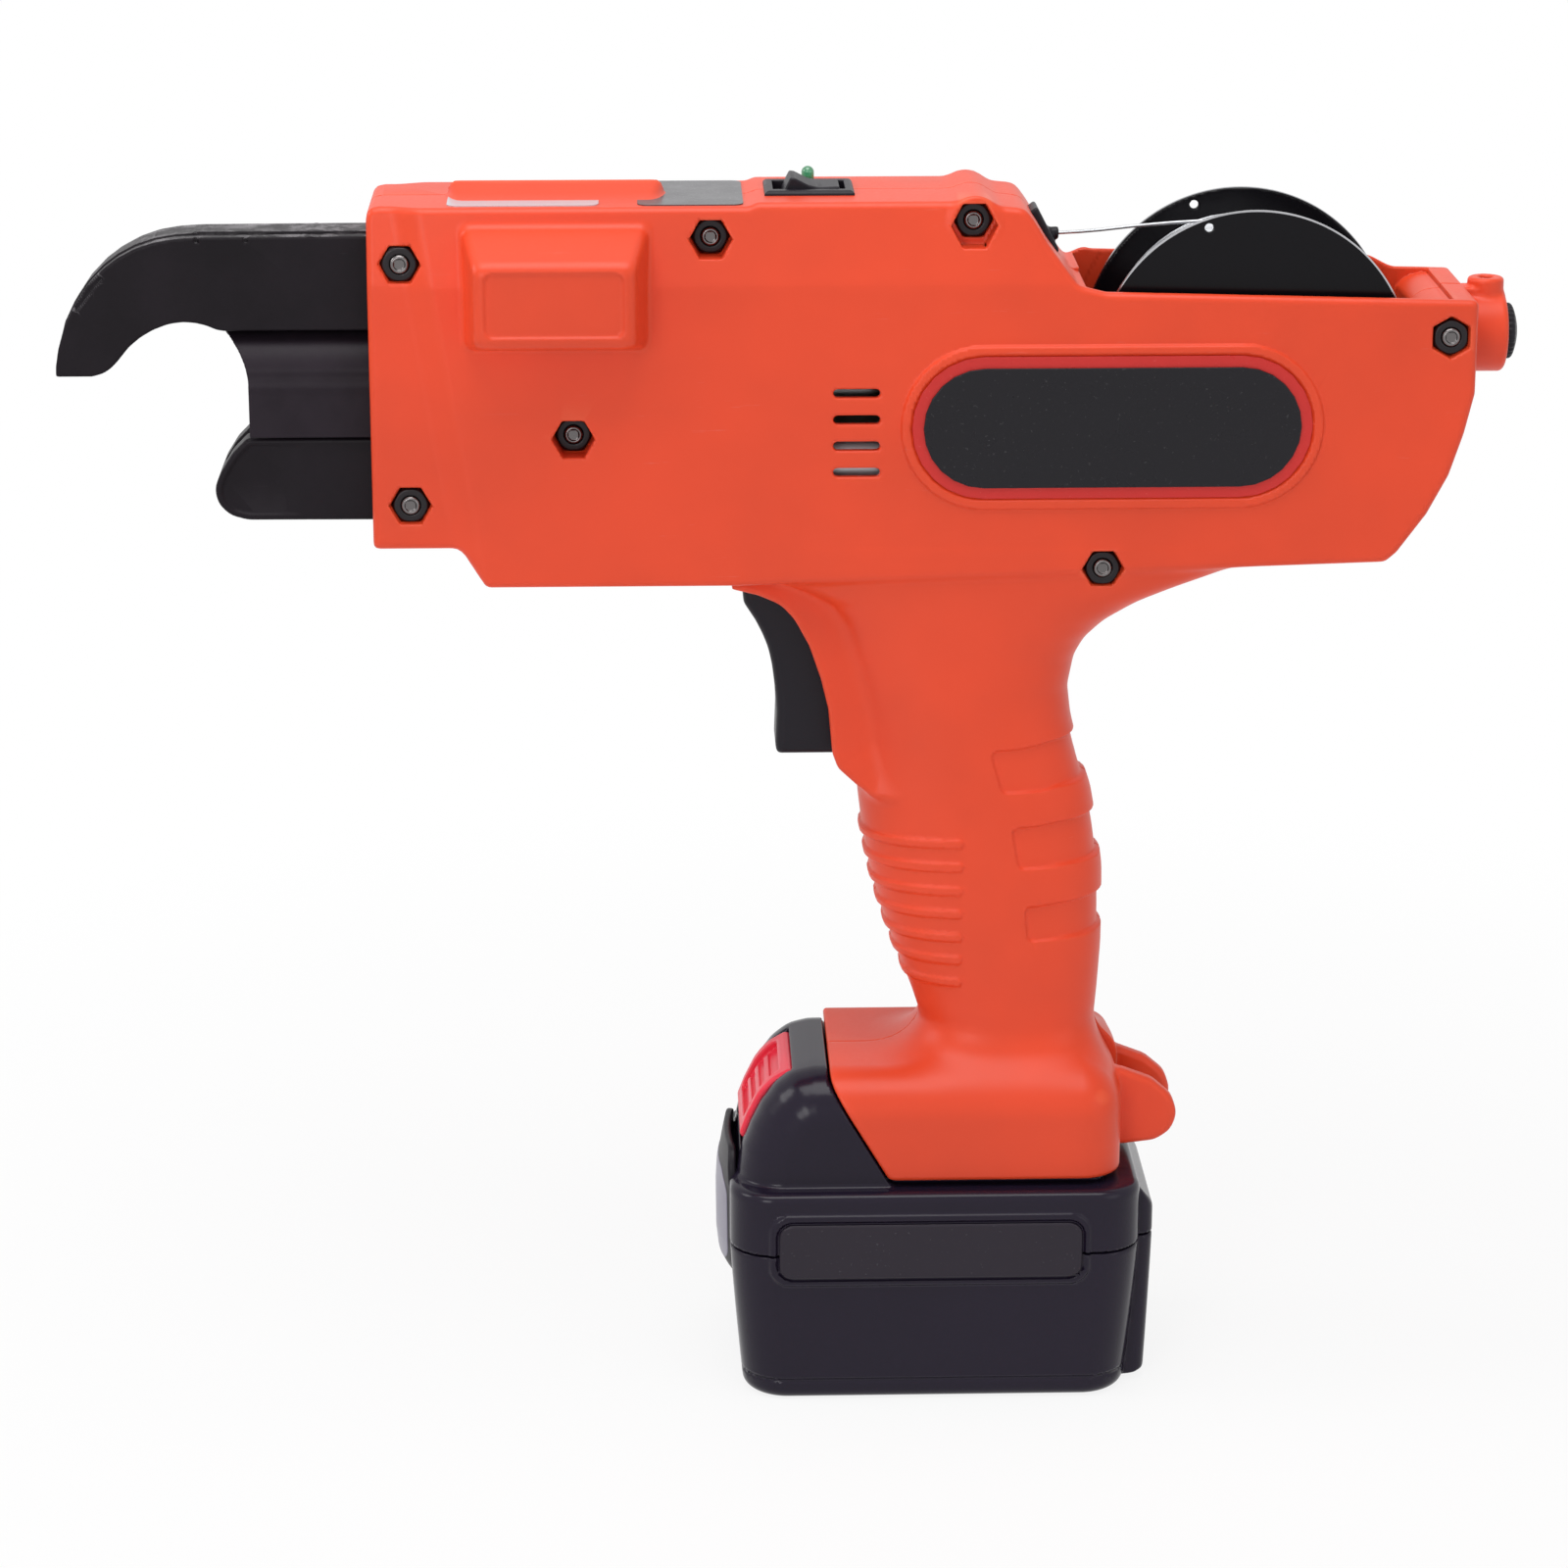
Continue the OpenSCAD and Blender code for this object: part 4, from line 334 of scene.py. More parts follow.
class Finish:
    """A material and its nodes."""

    def __init__(self, name, **constants):
        self.material = bpy.data.materials.new(name)
        self.material.use_nodes = True
        self.tree = self.material.node_tree
        self.shader = self.tree.nodes["Principled BSDF"]
        self.place = self.node("ShaderNodeTexCoord", out="Object")
        self.set(**constants)

    def put(self, socket, value):
        if isinstance(value, Signal):
            self.tree.links.new(value.socket, socket)
        elif isinstance(value, (tuple, list)) and socket.type == "RGBA":
            socket.default_value = (*value[:3], 1)
        else:
            socket.default_value = value

    def node(self, kind, settings=None, inputs=None, out=0):
        """Any node: its type, its settings, then the values or links of its sockets."""
        n = self.tree.nodes.new(kind)
        for key, value in (settings or {}).items():
            setattr(n, key, value)
        for key, value in (inputs or {}).items():
            self.put(n.inputs[key], value)
        return Signal(self, n.outputs[out])

    def set(self, **sockets):
        for key, value in sockets.items():
            self.put(self.shader.inputs[key.replace("_", " ").title().replace("Ior", "IOR")], value)
        return self

    def axis(self, name):
        return self.node("ShaderNodeSeparateXYZ", None, {0: self.place}, name)

    def stretched(self, scale, turn=(0, 0, 0)):
        """Object coordinates, turned and stretched."""
        return self.node("ShaderNodeMapping", None, {
            "Vector": self.place, "Rotation": turn, "Scale": scale})

    def noise(self, scale, detail=2.0, rough=0.5, at=None):
        return self.node("ShaderNodeTexNoise", None, {
            "Vector": at or self.place, "Scale": scale, "Detail": detail, "Roughness": rough})

    def attribute(self, name):
        return self.node("ShaderNodeAttribute", {"attribute_name": name}, None, "Fac")

    def blend(self, a, b, amount):
        """Colour a turning into colour b."""
        return self.node("ShaderNodeMix", {"data_type": "RGBA"}, {0: amount, 6: a, 7: b}, 2)

    def relief(self, height, strength, distance):
        return self.node("ShaderNodeBump", None, {
            "Height": height, "Strength": strength, "Distance": distance})


def dim(colour, k):
    """Colour times k."""
    return tuple(c*k for c in colour)


def moulding(name, colour, rough, grain=900.0, depth=0.12, worn=0.25, scuffs=0.5, shine=0.3, edge=None):
    """Moulded plastic: spark-eroded grain, slow change of tone, paler rubbed edges and faint scuffs."""
    f = Finish(name, specular_ior_level=shine)
    slow = f.noise(18, 3, 0.55)
    fine = f.noise(grain, 3, 0.6)
    scratch = f.noise(60, 4, 0.7, f.stretched((1, 1, 14), (0.3, 0.5, 0.2))).between(0.66, 0.74)
    marks = scratch*f.noise(9, 2).between(0.45, 0.62)*scuffs
    rub = (f.attribute("wear")*(0.55 + 0.9*f.noise(55, 4, 0.65))).between(0.35, 0.95)*worn
    tone = f.blend(dim(colour, 0.93), dim(colour, 1.06), slow.between(0.3, 0.7))
    tone = f.blend(tone, edge or tuple(0.55*c + 0.45*max(colour) for c in colour), rub)
    tone = f.blend(tone, tuple(0.75*c + 0.25*max(colour) for c in colour), 0.5*marks)
    return f.set(
        base_color=tone,
        roughness=rough + 0.10*(fine - 0.5) + 0.08*(slow - 0.5) - 0.08*rub + 0.08*marks,
        normal=f.relief(fine, depth, 0.00008)).material


def metal(name, colour, rough, lines=(1, 1, 1), dirt=0.3, metallic=1.0, worn=0.0):
    """Machined metal: fine lines across the stretch, stains in broad patches, brighter rubbed edges."""
    f = Finish(name, metallic=metallic)
    line = f.noise(900, 3, 0.7, f.stretched(lines))
    stain = f.noise(45, 4, 0.65).between(0.42, 0.72)*dirt
    rub = f.attribute("wear").between(0.3, 0.9)*worn
    tone = f.blend(dim(colour, 1.05), dim(colour, 0.5), stain)
    tone = f.blend(tone, tuple(min(1, 1.8*c + 0.05) for c in colour), rub)
    return f.set(
        base_color=tone,
        roughness=rough + 0.16*(line - 0.5) + 0.2*stain,
        normal=f.relief(line, 0.15, 0.00003)).material


def blackened_steel(name, painted_reflection_lift=1.0):
    """Black finish on steel: rubbed to grey on the edges, pale scuffs along the top, faint scratches. A
    lift above 1 makes both tones paler: a painted reflection.
    """
    f = Finish(name, specular_ior_level=0.13)
    broad = f.noise(40, 4, 0.6)
    fine = f.noise(700, 3, 0.65)
    facing = f.node("ShaderNodeNewGeometry", out="Normal")
    up = f.node("ShaderNodeSeparateXYZ", None, {0: facing}, "Z").between(0.8, 0.97)
    scuff = up*f.noise(190, 5, 0.78).between(0.44, 0.6)*f.noise(30, 3).between(0.25, 0.5)
    scuff = scuff*f.axis("Z").between(0.272, 0.28)
    scratch = f.noise(240, 3, 0.6, f.stretched((0.05, 1, 1), (0, 0.06, 0))).between(0.66, 0.72)
    scratch = scratch*broad.between(0.5, 0.62)
    edge = (f.attribute("wear")*(0.4 + 1.2*f.noise(130, 4, 0.7))).between(0.5, 0.95)
    bare = (0.6*edge + 0.7*scuff + 0.1*scratch).least(1.0)
    # lift scales both tones; above 1 it is a painted reflection of the bright floor and lamps
    dark, pale = dim((0.0062, 0.0043, 0.0064), painted_reflection_lift), dim((0.0105, 0.0075, 0.0108), painted_reflection_lift)
    tone = f.blend(dark, pale, broad.between(0.3, 0.7))
    tone = f.blend(tone, (0.29, 0.275, 0.29), bare)
    return f.set(
        base_color=tone,
        metallic=0.5*bare,
        roughness=0.42 + 0.16*(fine - 0.5) + 0.14*(broad - 0.5) + 0.1*scuff,
        normal=f.relief(fine + 0.6*broad, 0.18, 0.0001)).material


def lacquer_board(name):
    """Circuit lacquer: green with paler tracks."""
    f = Finish(name)
    tracks = f.node("ShaderNodeTexBrick", None, {
        "Vector": f.stretched((90, 90, 90)), "Scale": 1.0, "Mortar Size": 0.06}, "Fac").between(0.4, 0.6)
    return f.set(base_color=f.blend((0.015, 0.09, 0.035), (0.05, 0.19, 0.08), tracks),
                 roughness=0.35 + 0.15*f.noise(300)).material


def printed(name, colour, rough, shine=0.25):
    """Printed film: even colour, faint waves and dust."""
    f = Finish(name, specular_ior_level=shine)
    dust = f.noise(1400, 2).between(0.68, 0.76)
    tone = f.blend(dim(colour, 0.96), dim(colour, 1.05), f.noise(30, 2))
    return f.set(base_color=f.blend(tone, tuple(c + 0.06 for c in colour), 0.5*dust),
                 roughness=rough + 0.12*(f.noise(120, 3) - 0.5) + 0.2*dust,
                 normal=f.relief(f.noise(70, 2), 0.05, 0.0002)).material


def top_films(name):
    """Two films on the top: silver in front, dark behind, both finely speckled."""
    f = Finish(name, coat_weight=0.35, coat_roughness=0.15)
    rear = f.axis("X").between(-0.0765, -0.0755)
    speckle = f.noise(1800, 2)
    tone = f.blend((0.58, 0.57, 0.62), (0.045, 0.044, 0.05), rear)
    tone = f.blend(tone, (0.30, 0.29, 0.31), 0.25*speckle.between(0.55, 0.75))
    return f.set(base_color=tone, metallic=0.35 - 0.35*rear,
                 roughness=0.33 + 0.2*(f.noise(160, 3) - 0.5) + 0.12*rear).material


def lamp_lens(name):
    """Green lens: clear plastic that passes light, with a bright core."""
    f = Finish(name, transmission_weight=0.45, coat_weight=0.6, emission_strength=0.06)
    core = f.noise(500, 2)
    tone = f.blend((0.05, 0.30, 0.15), (0.12, 0.46, 0.26), core)
    glow = f.blend((0.02, 0.35, 0.06), (0.1, 0.6, 0.15), core)
    return f.set(base_color=tone, roughness=0.12 + 0.1*core, emission_color=glow).material


ORANGE = (0.78, 0.062, 0.017)
finishes = {
    "casing_plastic": moulding(
        "orange_moulding", ORANGE, 0.42, worn=0.30, shine=0.38, edge=(0.93, 0.17, 0.07)),
    "black_plastic": moulding("black_moulding", (0.0105, 0.0082, 0.0128), 0.40, worn=0.5, shine=0.2),
    "pack_plastic": moulding(
        "pack_moulding", (0.0130, 0.0088, 0.0205), 0.20, depth=0.05, worn=0.35, shine=0.21),
    "latch_red": moulding("red_moulding", (0.80, 0.030, 0.062), 0.32, worn=0.3, edge=(0.95, 0.20, 0.25)),
    "reel_plastic": moulding(
        "reel_black", (0.004, 0.0035, 0.005), 0.2, depth=0.02, worn=0.2, scuffs=0.25, shine=0.14),
    "pack_plate": printed("pack_film", (0.020, 0.015, 0.024), 0.34),
    "badge_red": printed("badge_film_red", (0.60, 0.032, 0.028), 0.30),
    "badge_black": printed("badge_film_black", (0.008, 0.007, 0.010), 0.28),
    "label_film": top_films("top_films"),
    "lamp_green": lamp_lens("lamp_lens"),
    "board_green": lacquer_board("board_lacquer"),
    "cell_wrap": printed("cell_wrap", (0.03, 0.13, 0.36), 0.25),
    "nose_steel": blackened_steel("blackened_steel"),
    "dark_steel": metal("dark_steel", (0.14, 0.13, 0.13), 0.26, (1, 0.06, 1), worn=0.6),
    "black_oxide_steel": metal(
        "black_oxide", (0.020, 0.017, 0.019), 0.36, dirt=0.2, metallic=0.7, worn=0.6),
    "bright_steel": metal("bright_steel", (0.46, 0.46, 0.48), 0.24, (1, 0.05, 1)),
    "spring_steel": metal("spring_steel", (0.50, 0.50, 0.52), 0.28),
    "wire_steel": metal("zinc_wire", (0.47, 0.48, 0.50), 0.32, dirt=0.45),
    "motor_can": metal("motor_zinc", (0.42, 0.42, 0.44), 0.33, (0.06, 1, 1)),
    "gear_steel": metal("oiled_gear", (0.36, 0.35, 0.32), 0.30, dirt=0.5),
    "gear_brass": metal("turned_brass", (0.62, 0.44, 0.16), 0.27, (1, 0.08, 1)),
    "cast_aluminium": metal("cast_aluminium", (0.52, 0.53, 0.55), 0.45, dirt=0.25),
}
slot_of = {s["node"]: s["material_slot"] for s in frame["record"]["subparts"]}
for n, o in nodes.items():
    o.data.materials.clear()
    o.data.materials.append(finishes[slot_of[n]])


def soften(node, width, angle=28):
    """Small round on the edges of a plain node, as modifiers."""
    o = nodes[node]
    w = o.modifiers.new("weld", "WELD")
    w.merge_threshold = 0.00001
    e = o.modifiers.new("edge", "BEVEL")
    e.width, e.segments, e.limit_method, e.angle_limit = width*MM, 2, "ANGLE", math.radians(angle)
    e.harden_normals = True


# Casing: outlines and places in millimetres

BODY = plan(rounded(
    [(-134, 295.5), (-134, 214.5), (-113.5, 214.5), (-107.5, 205.5), (-48, 205.5), (105.6, 210.2),
     (108.3, 212.6), (115, 221.8), (119.9, 231.2), (123.1, 241.2), (125.3, 250.8), (125.3, 273.0),
     (37.97, 275.4), (31.5, 277), (19.1, 293.8), (2.7, 295.5)],
    [3, 1.5, 4, 2, 0.5, 3, 4, 8, 8, 8, 4, 1.5, 6, 4, 4, 2], 4))
BOLTS = np.array([
    (-126.31, 282.5), (-125, 225.1), (-54.1, 288.1), (7.2, 291.6), (-86.5, 241.4), (38.5, 209.1),
    (119.05, 264.4)])
NUT_DEPTH = (15.4, 15.4, 12.1, 11.66, 13.2, 16.94, 18.04)
# The bolts whose pockets differ: on the bump behind the switch, and at the rear
BUMP_BOLT, REAR_BOLT = 3, 6
TRIGGER_PIN = (-34.02, 206.9)
REEL = (73.3, 256.6)
STRAP_PIN, REAR_TUBE = (52.5, 69.1), (118.4, 264.4)
# Body: half width, wall, and the height where its top band starts to lean in. Base: half width and top
BODY_HALF, WALL, LEAN_Z, BASE_HALF, BASE_TOP = 22, 2.5, 277.5, 28, 83
# Radii of the bolts' holes and bosses, and of the reel's bay
BOLT_R, BOSS_R, BAY_R = 2.15, 6.8, 39

# Grip rings: height, front, rear, half width, squareness
GRIP_RINGS = np.array([
    (80.0, -8.0, 41.6, 18.9, 3.0), (83.0, -6.5, 41.4, 18.4, 3.0), (91.5, -2.9, 40.3, 17.0, 2.6),
    (98.5, -5.2, 40.9, 16.9, 2.6), (109.6, -9.4, 41.6, 17.6, 2.6), (119.4, -12.8, 41.7, 18.0, 2.6),
    (129.9, -15.6, 41.5, 18.3, 2.6), (139.8, -17.5, 40.2, 18.3, 2.6), (149.8, -18.7, 38.4, 18.0, 2.6),
    (155.1, -17.8, 36.6, 17.8, 2.6), (161.5, -17.5, 34.8, 17.8, 2.6), (168.6, -18.6, 33.1, 17.8, 2.6),
    (176.0, -20.4, 32.2, 18.0, 2.7), (184.2, -22.3, 33.7, 18.3, 2.9), (189.0, -23.4, 36.3, 18.7, 3.1),
    (193.9, -24.4, 41.3, 19.2, 3.4), (199.0, -27.2, 49.5, 19.9, 4.0), (203.0, -34.0, 58.5, 20.4, 5.0),
    (208.0, -46.0, 71.0, 20.7, 7.0), (214.0, -47.0, 86.0, 20.7, 8.0)])
GRIP_Z = np.linspace(78, 214, 273)
blur = np.exp(-np.linspace(-2.2, 2.2, 13)**2)
GRIP = [np.convolve(np.pad(np.interp(GRIP_Z, GRIP_RINGS[:, 0], c), 6, "edge"), blur/blur.sum(), "valid")
        for c in GRIP_RINGS.T[1:]]
GUARD = plan(rounded(
    [(-49.5, 202.7), (-43.0, 201.1), (-37.6, 198.7), (-34.4, 195.1), (-30.8, 188.4), (-28.0, 180.1),
     (-26.2, 172.6), (-25.2, 161.5), (-23.9, 157.9), (-19.3, 153.6), (-15.5, 150.5), (-8, 150),
     (2, 170), (-2, 190), (-14, 209), (-48, 209)],
    [0.5, 9, 9, 9, 12, 12, 12, 4, 4, 3, 4, 6, 20, 20, 4, 2], 4))
RIB_Z = (139.9, 134, 127.9, 121.9, 115.8, 109.9, 103.9)
PADS = [
    [(12.7, 162.8), (21, 163.3), (28, 164.3), (60, 165.2), (60, 154.2), (30, 153.4), (24.8, 152.6),
     (15.6, 152.5)],
    [(18.0, 143.4), (23, 143.7), (28.6, 144.3), (60, 145.4), (60, 134.4), (30, 133.8), (25, 133.4),
     (20.0, 133.3)],
    [(21.5, 123.3), (26, 123.6), (30.4, 124.0), (60, 125.0), (60, 115.8), (31, 115.1), (27, 114.8),
     (22.4, 114.6)]]
PADS = [plan(rounded(p, [1.6, 0, 0, 0, 0, 0, 0, 1.6], 4)) for p in PADS]
EAR = plan(rounded(
    [(38, 58.8), (47.7, 58.7), (55.4, 59.6), (59.4, 62.2), (60.9, 66.8), (59.2, 71.6), (54.4, 75.7),
     (46.9, 78.6), (38, 79.2)],
    [0, 2, 6, 6, 6, 6, 6, 3, 0], 4))

# Square openings: two corners, the radius of the edges inside and that of the rim
OPENINGS = (
    ((-80, -40, 20), (41.5, 25, 78), 3.0, 0.6),            # pack
    ((-60, -40, 157.2), (-3, 8.35, 214.9), 0.6, 0.8),      # trigger
    ((-150, -40, 216.75), (-129, 13.1, 288.3), 0.6, 0.6),  # nose
    ((-150, -40, 250), (-113.5, 9.35, 288.3), 0.3, 0.3),   # curl guide
    ((-150, -40, 218.6), (-113.5, 11.35, 253), 0.3, 0.3),  # lower jaw
    ((-40.2, -40, 290.5), (-21.4, 6.4, 310), 0.3, 0.3),    # switch
    ((13.6, -40, 280.75), (31.7, 5, 290.75), 0.3, 0.3),    # wire guide
    ((8.7, -40, 76), (35.8, 19.9, 79.3), 0.2, 0.2))        # terminals


def frame_rect(u, v, lo, hi, r):
    """Distance to a rectangle with round corners."""
    a, b = slab(u, lo[0], hi[0]) + r, slab(v, lo[1], hi[1]) + r
    return np.hypot(np.maximum(a, 0), np.maximum(b, 0)) + np.minimum(np.maximum(a, b), 0) - r


def base_front(x, z):
    """Distance behind the slope where the base ends and the pack's hood begins."""
    return ((x + 26)*24.44 + (z - 80.94)*14.5)/28.42


def casing_outside(x, a, z, side):
    """Outer form of one half, a out from the middle plane: the body with its leaning top band and set-in
    nose, the bump, the hump, the grip as superellipse rings, the trigger guard and the base."""
    lean = z - LEAN_Z
    nose = (x + 134)*0.98686 + (z - 205.5)*0.1616
    badge = -stadium(x, z, (40.0, 243.6), 99.2, 38.97)
    wide = (BODY_HALF - (lean + np.sqrt(lean*lean + 0.3))/12 - 2.5*(1 - step(nose, 19.5, 27.5))
            + 0.8*step(badge, -0.4, 0.3)*(1 - step(badge, 1.9, 2.5)))
    rise = 0.9*step(x, -45.8, -42.6)*step(z, 285, 292)
    if side > 0:
        rise = rise + 2.8*step(x, 31, 37)*(1 - step(x, 104, 112))*step(z, 262, 270)
    f = corner(BODY(x, z - rise), a - wide, 1.6)
    f = smin(f, rod(x, z, a, (7.4, 291.6), 6.2, -6, 19.2, 1.0), 1.6)
    panel = np.hypot(np.maximum(slab(x, -104.3, -76.2), 0), np.maximum(slab(z, 270.4, 281.2), 0)) - 2
    b = a - 36 + 0.55*(1 - step(panel, -0.5, 0.35))
    out = a - BODY_HALF
    for wall in (((-111.4 - x)*14 + out*2.6)/14.24, ((x + 68.9)*14 + out*2.6)/14.24,
                 ((263.0 - z)*14 + out*2.6)/14.24, ((z - 290.5)*14 + out*5.4)/15.0):
        b = smax(b, wall, 2.6)
    f = smin(f, np.maximum(b, -a), 1.4)
    x0, x1, w, e = [np.interp(z, GRIP_Z, c) for c in GRIP]
    long = np.maximum((x1 - x0)/2, 1)
    g = ((np.abs((x - (x0 + x1)/2)/long)**e + np.abs(a/w)**e)**(1/e) - 1)*w
    near = z < 170
    for rib in RIB_Z:
        d = np.hypot(np.maximum(x - 5.2, 0), z - rib)
        g = g - 0.55*(1 - step(d, 0.7, 1.55))*near
    for pad in PADS:
        g = g + 0.8*step(-pad(x, z), -0.5, 0.35)*near
    g = smax(smax(g, z - 213, 1), 79 - z, 1)
    inward = GUARD(x, z)
    guard = corner(inward, np.abs(a) - 14.3 + 0.32*np.clip(-inward, 0, 11), 1.5)
    g = smin(g, guard, 2.8)
    base = frame_rect(x, a, (-70, -BASE_HALF), (45.8, BASE_HALF), 10.0)
    base = corner(base, z - BASE_TOP, 11.0 if side < 0 else 4.0)
    base = smax(base, -26 - x, 1.2)
    base = smax(base, -base_front(x, z), 1.2)
    base = smax(base, 56.5 - z, 1.2)
    return smin(f, smin(g, base, 8.0), 2.2)


def casing(side):
    """Field of one half: the outer form less the same form set in by the wall, with bosses round the bolts,
    the reel bay, the pack well and the openings. side is -1 on the left."""
    def field(x, y, z):
        a = side*y
        f = outer = casing_outside(x, a, z, side)
        bay = np.hypot(x - REEL[0], z - REEL[1])
        hollow = np.maximum(f + WALL, BAY_R + WALL - bay)
        f = cut(f, np.maximum(hollow, -block(x, a, z, (30, -9, 256), (130, 60, 320))), 0.3)
        for bolt in BOLTS:
            f = np.minimum(f, np.maximum(rod(x, z, a, bolt, BOSS_R, -1, 40), outer))
        ear = corner(EAR(x, z), slab(a, 6, 10.7), 1.6)
        f = smin(f, ear, 1.2)
        f = cut(f, rod(x, z, a, REEL, BAY_R, -40, 19.5), 0.5)
        f = cut(f, block(x, a, z, (33.6, -40, 262), (112.3, 19.5, 320), 1.0), 0.5)
        behind = block(x, a, z, (100, -40, 262), (119.6, 19.5, 320), 0.8)
        behind = np.maximum(behind, 7.6 - np.hypot(x - REAR_TUBE[0], z - REAR_TUBE[1]))
        f = cut(f, behind, 0.4)
        for lo, hi, r, k in OPENINGS:
            f = cut(f, block(x, a, z, lo, hi, r), k)
        for k in range(4):
            vent = corner(stadium(x, z, (-20.1, 251.94 - 6.3*k), 11, 2.1), slab(a, 17, 30), 0.2)
            f = cut(f, vent, 0.5)
        for i, ((bx, bz), depth) in enumerate(zip(BOLTS, NUT_DEPTH)):
            f = cut(f, rod(x, z, a, (bx, bz), BOLT_R, -9, 40), 0.2)
            if side < 0:
                turn, tall = 30 if i == REAR_BOLT else 0, (0.92, 0.7) if i == BUMP_BOLT else (1, 0)
                f = cut(f, corner(hexagon(x, z, (bx, bz), 8.2, turn), slab(a, depth, 60), 0.2), 0.3)
                flats = 9.4 if i == BUMP_BOLT else 8.8
                mouth = hexagon(x - bx, tall[0]*(z - bz + tall[1]), (0, 0), flats, turn)
                f = cut(f, corner(mouth, slab(a, depth + 2.8, 60), 0.2), 0.35)
            else:
                f = cut(f, rod(x, z, a, (bx, bz), 3.8, 14.5, 60), 0.5)
        f = cut(f, rod(x, z, a, STRAP_PIN, BOLT_R, -9, 10.05), 0.3)
        f = cut(f, rod(x, z, a, TRIGGER_PIN, 2.1, -9, 13.7), 0.2)
        if side > 0:
            f = cut(f, rod(x, z, a, REEL, 6.4, -9, 60), 0.5)
            f = cut(f, rod(x, a, z, (-30.8, 12.54), 1.56, 288, 310), 0.2)
        return smax(f, 0.05 - a, 0.25)
    return field


for name, side in (("casing_left", -1), ("casing_right", 1)):
    lo, hi = (-136.3, -38.3, 54.3), (126.3, 2.2, 302.3)
    if side > 0:
        lo, hi = (lo[0], -2.2, lo[2]), (hi[0], 38.3, hi[2])
    solid(name + "_shell", casing(side), lo, hi, CASING_STEP, "casing", "casing_plastic", [name])


# Nose: the curl guide's two plates and core, the barrel and the lower jaw

GUIDE_OUT = [
    (-208.1, 254.3), (-208.0, 256.8), (-207.3, 260.8), (-205.6, 266.4), (-203.2, 271.2),
    (-199.9, 276.0), (-196.1, 279.9), (-192.6, 282.5), (-188.4, 284.7), (-183.9, 286.2),
    (-179.1, 287.0), (-173.9, 287.3)]
GUIDE_IN = [
    (-168.0, 265.0), (-169.8, 265.2), (-172.6, 266.4), (-175.2, 267.0), (-178.0, 267.2),
    (-181.4, 266.7), (-185.0, 265.3), (-187.9, 263.6), (-190.7, 261.3), (-193.4, 258.0),
    (-195.0, 256.3), (-196.9, 255.0), (-199.6, 254.3)]
GUIDE = plan(rounded(
    GUIDE_OUT + [(-121.1, 287.5), (-121.1, 265.0)] + GUIDE_IN,
    [0.5] + [9]*11 + [0, 0] + [1] + [9]*11 + [1], 3))
CORE = plan(rounded(
    [(x - 0.15, z) if z < 262 else (x - 0.2, z + 0.35) for x, z in GUIDE_OUT]
    + [(-175.4, 287.65), (-174.6, 287.97), (-121.1, 287.97), (-121.1, 265.3)]
    + [(x, z + 0.3) for x, z in GUIDE_IN], 0.6, 3))
# Height of the twisting hooks' axis
TWIST_Z = 252.4
JAW = plan(rounded(
    [(-163.6, 239.65), (-167.3, 235.9), (-170.0, 231.6), (-171.7, 227.6), (-170.9, 223.6),
     (-168.0, 220.9), (-164.0, 219.8), (-121.1, 219.65), (-121.1, 231.65), (-134.0, 239.65)],
    [2, 6, 6, 6, 6, 6, 8, 0, 3, 1], 4))


def guide_plates(x, y, z):
    """Two plates of the hook's outline, with a slot in the outer edge and two nicks in the top edge."""
    f = corner(GUIDE(x, z), slab(np.abs(y), 5.06, 9.04), 0.55)
    u, v = (x + 200.3)*0.633 + (z - 274.6)*0.774, -(x + 200.3)*0.774 + (z - 274.6)*0.633
    f = cut(f, corner(corner(slab(u, -4.9, 4.9), slab(v, -1.1, 5), 0.1), slab(-y, 7.9, 12), 0.1), 0.3)
    for x0 in (-174.0, -162.5):
        nick = corner(slab(x, x0 - 0.45, x0 + 0.45), 286.0 - z, 0.1)
        f = cut(f, corner(nick, slab(-y, 8.4, 12), 0.1), 0.2)
    return f


def guide_core(x, y, z):
    """Core between the plates: the same outline a little fuller, its top higher behind a small step."""
    f = corner(CORE(x, z), np.abs(y) - 5.0, 0.35)
    return cut(f, np.maximum(slab(x, -163, -157.5), np.maximum(slab(y, 3.4, 4.4), 287.3 - z)), 0.15)


def barrel(x, y, z):
    """Tube round the twisting hooks: round above its axis, straight sides below, with a soft valley
    between them and the front hollowed by the throat."""
    r = np.hypot(y, np.maximum(z - TWIST_Z, 0)) + 0.28*(1 - step(np.abs(z - 254.0), 0.3, 2.4))
    r = r + 0.15*step(-z, -253, -250)
    f = corner(slab(r, 11.4, 12.4), slab(x, -178, -121), 0.3)
    throat = np.where(z > TWIST_Z, np.hypot(x + 177.6, z - TWIST_Z) - 14.8, x + 162.8)
    return smax(cut(f, throat, 0.4), 240.05 - z, 0.2)


def jaw(x, y, z):
    """Lower jaw: a thick block with a round front, a wire groove and a thinner raised rim."""
    d = JAW(x, z)
    f = corner(d, np.abs(y) - 11 + 0.5*step(-d, 1.2, 2.0)*step(-x, 150, 158), 1.0)
    groove = np.maximum(np.abs(y) - 3.2, 0.72*(x + 156) - 0.69*(z - 238) - 3)
    f = cut(f, np.maximum(groove, slab(z, 231.5, 260)), 0.5)
    return cut(f, rod(x, z, y, BOLTS[1], BOLT_R, -20, 20), 0.2)


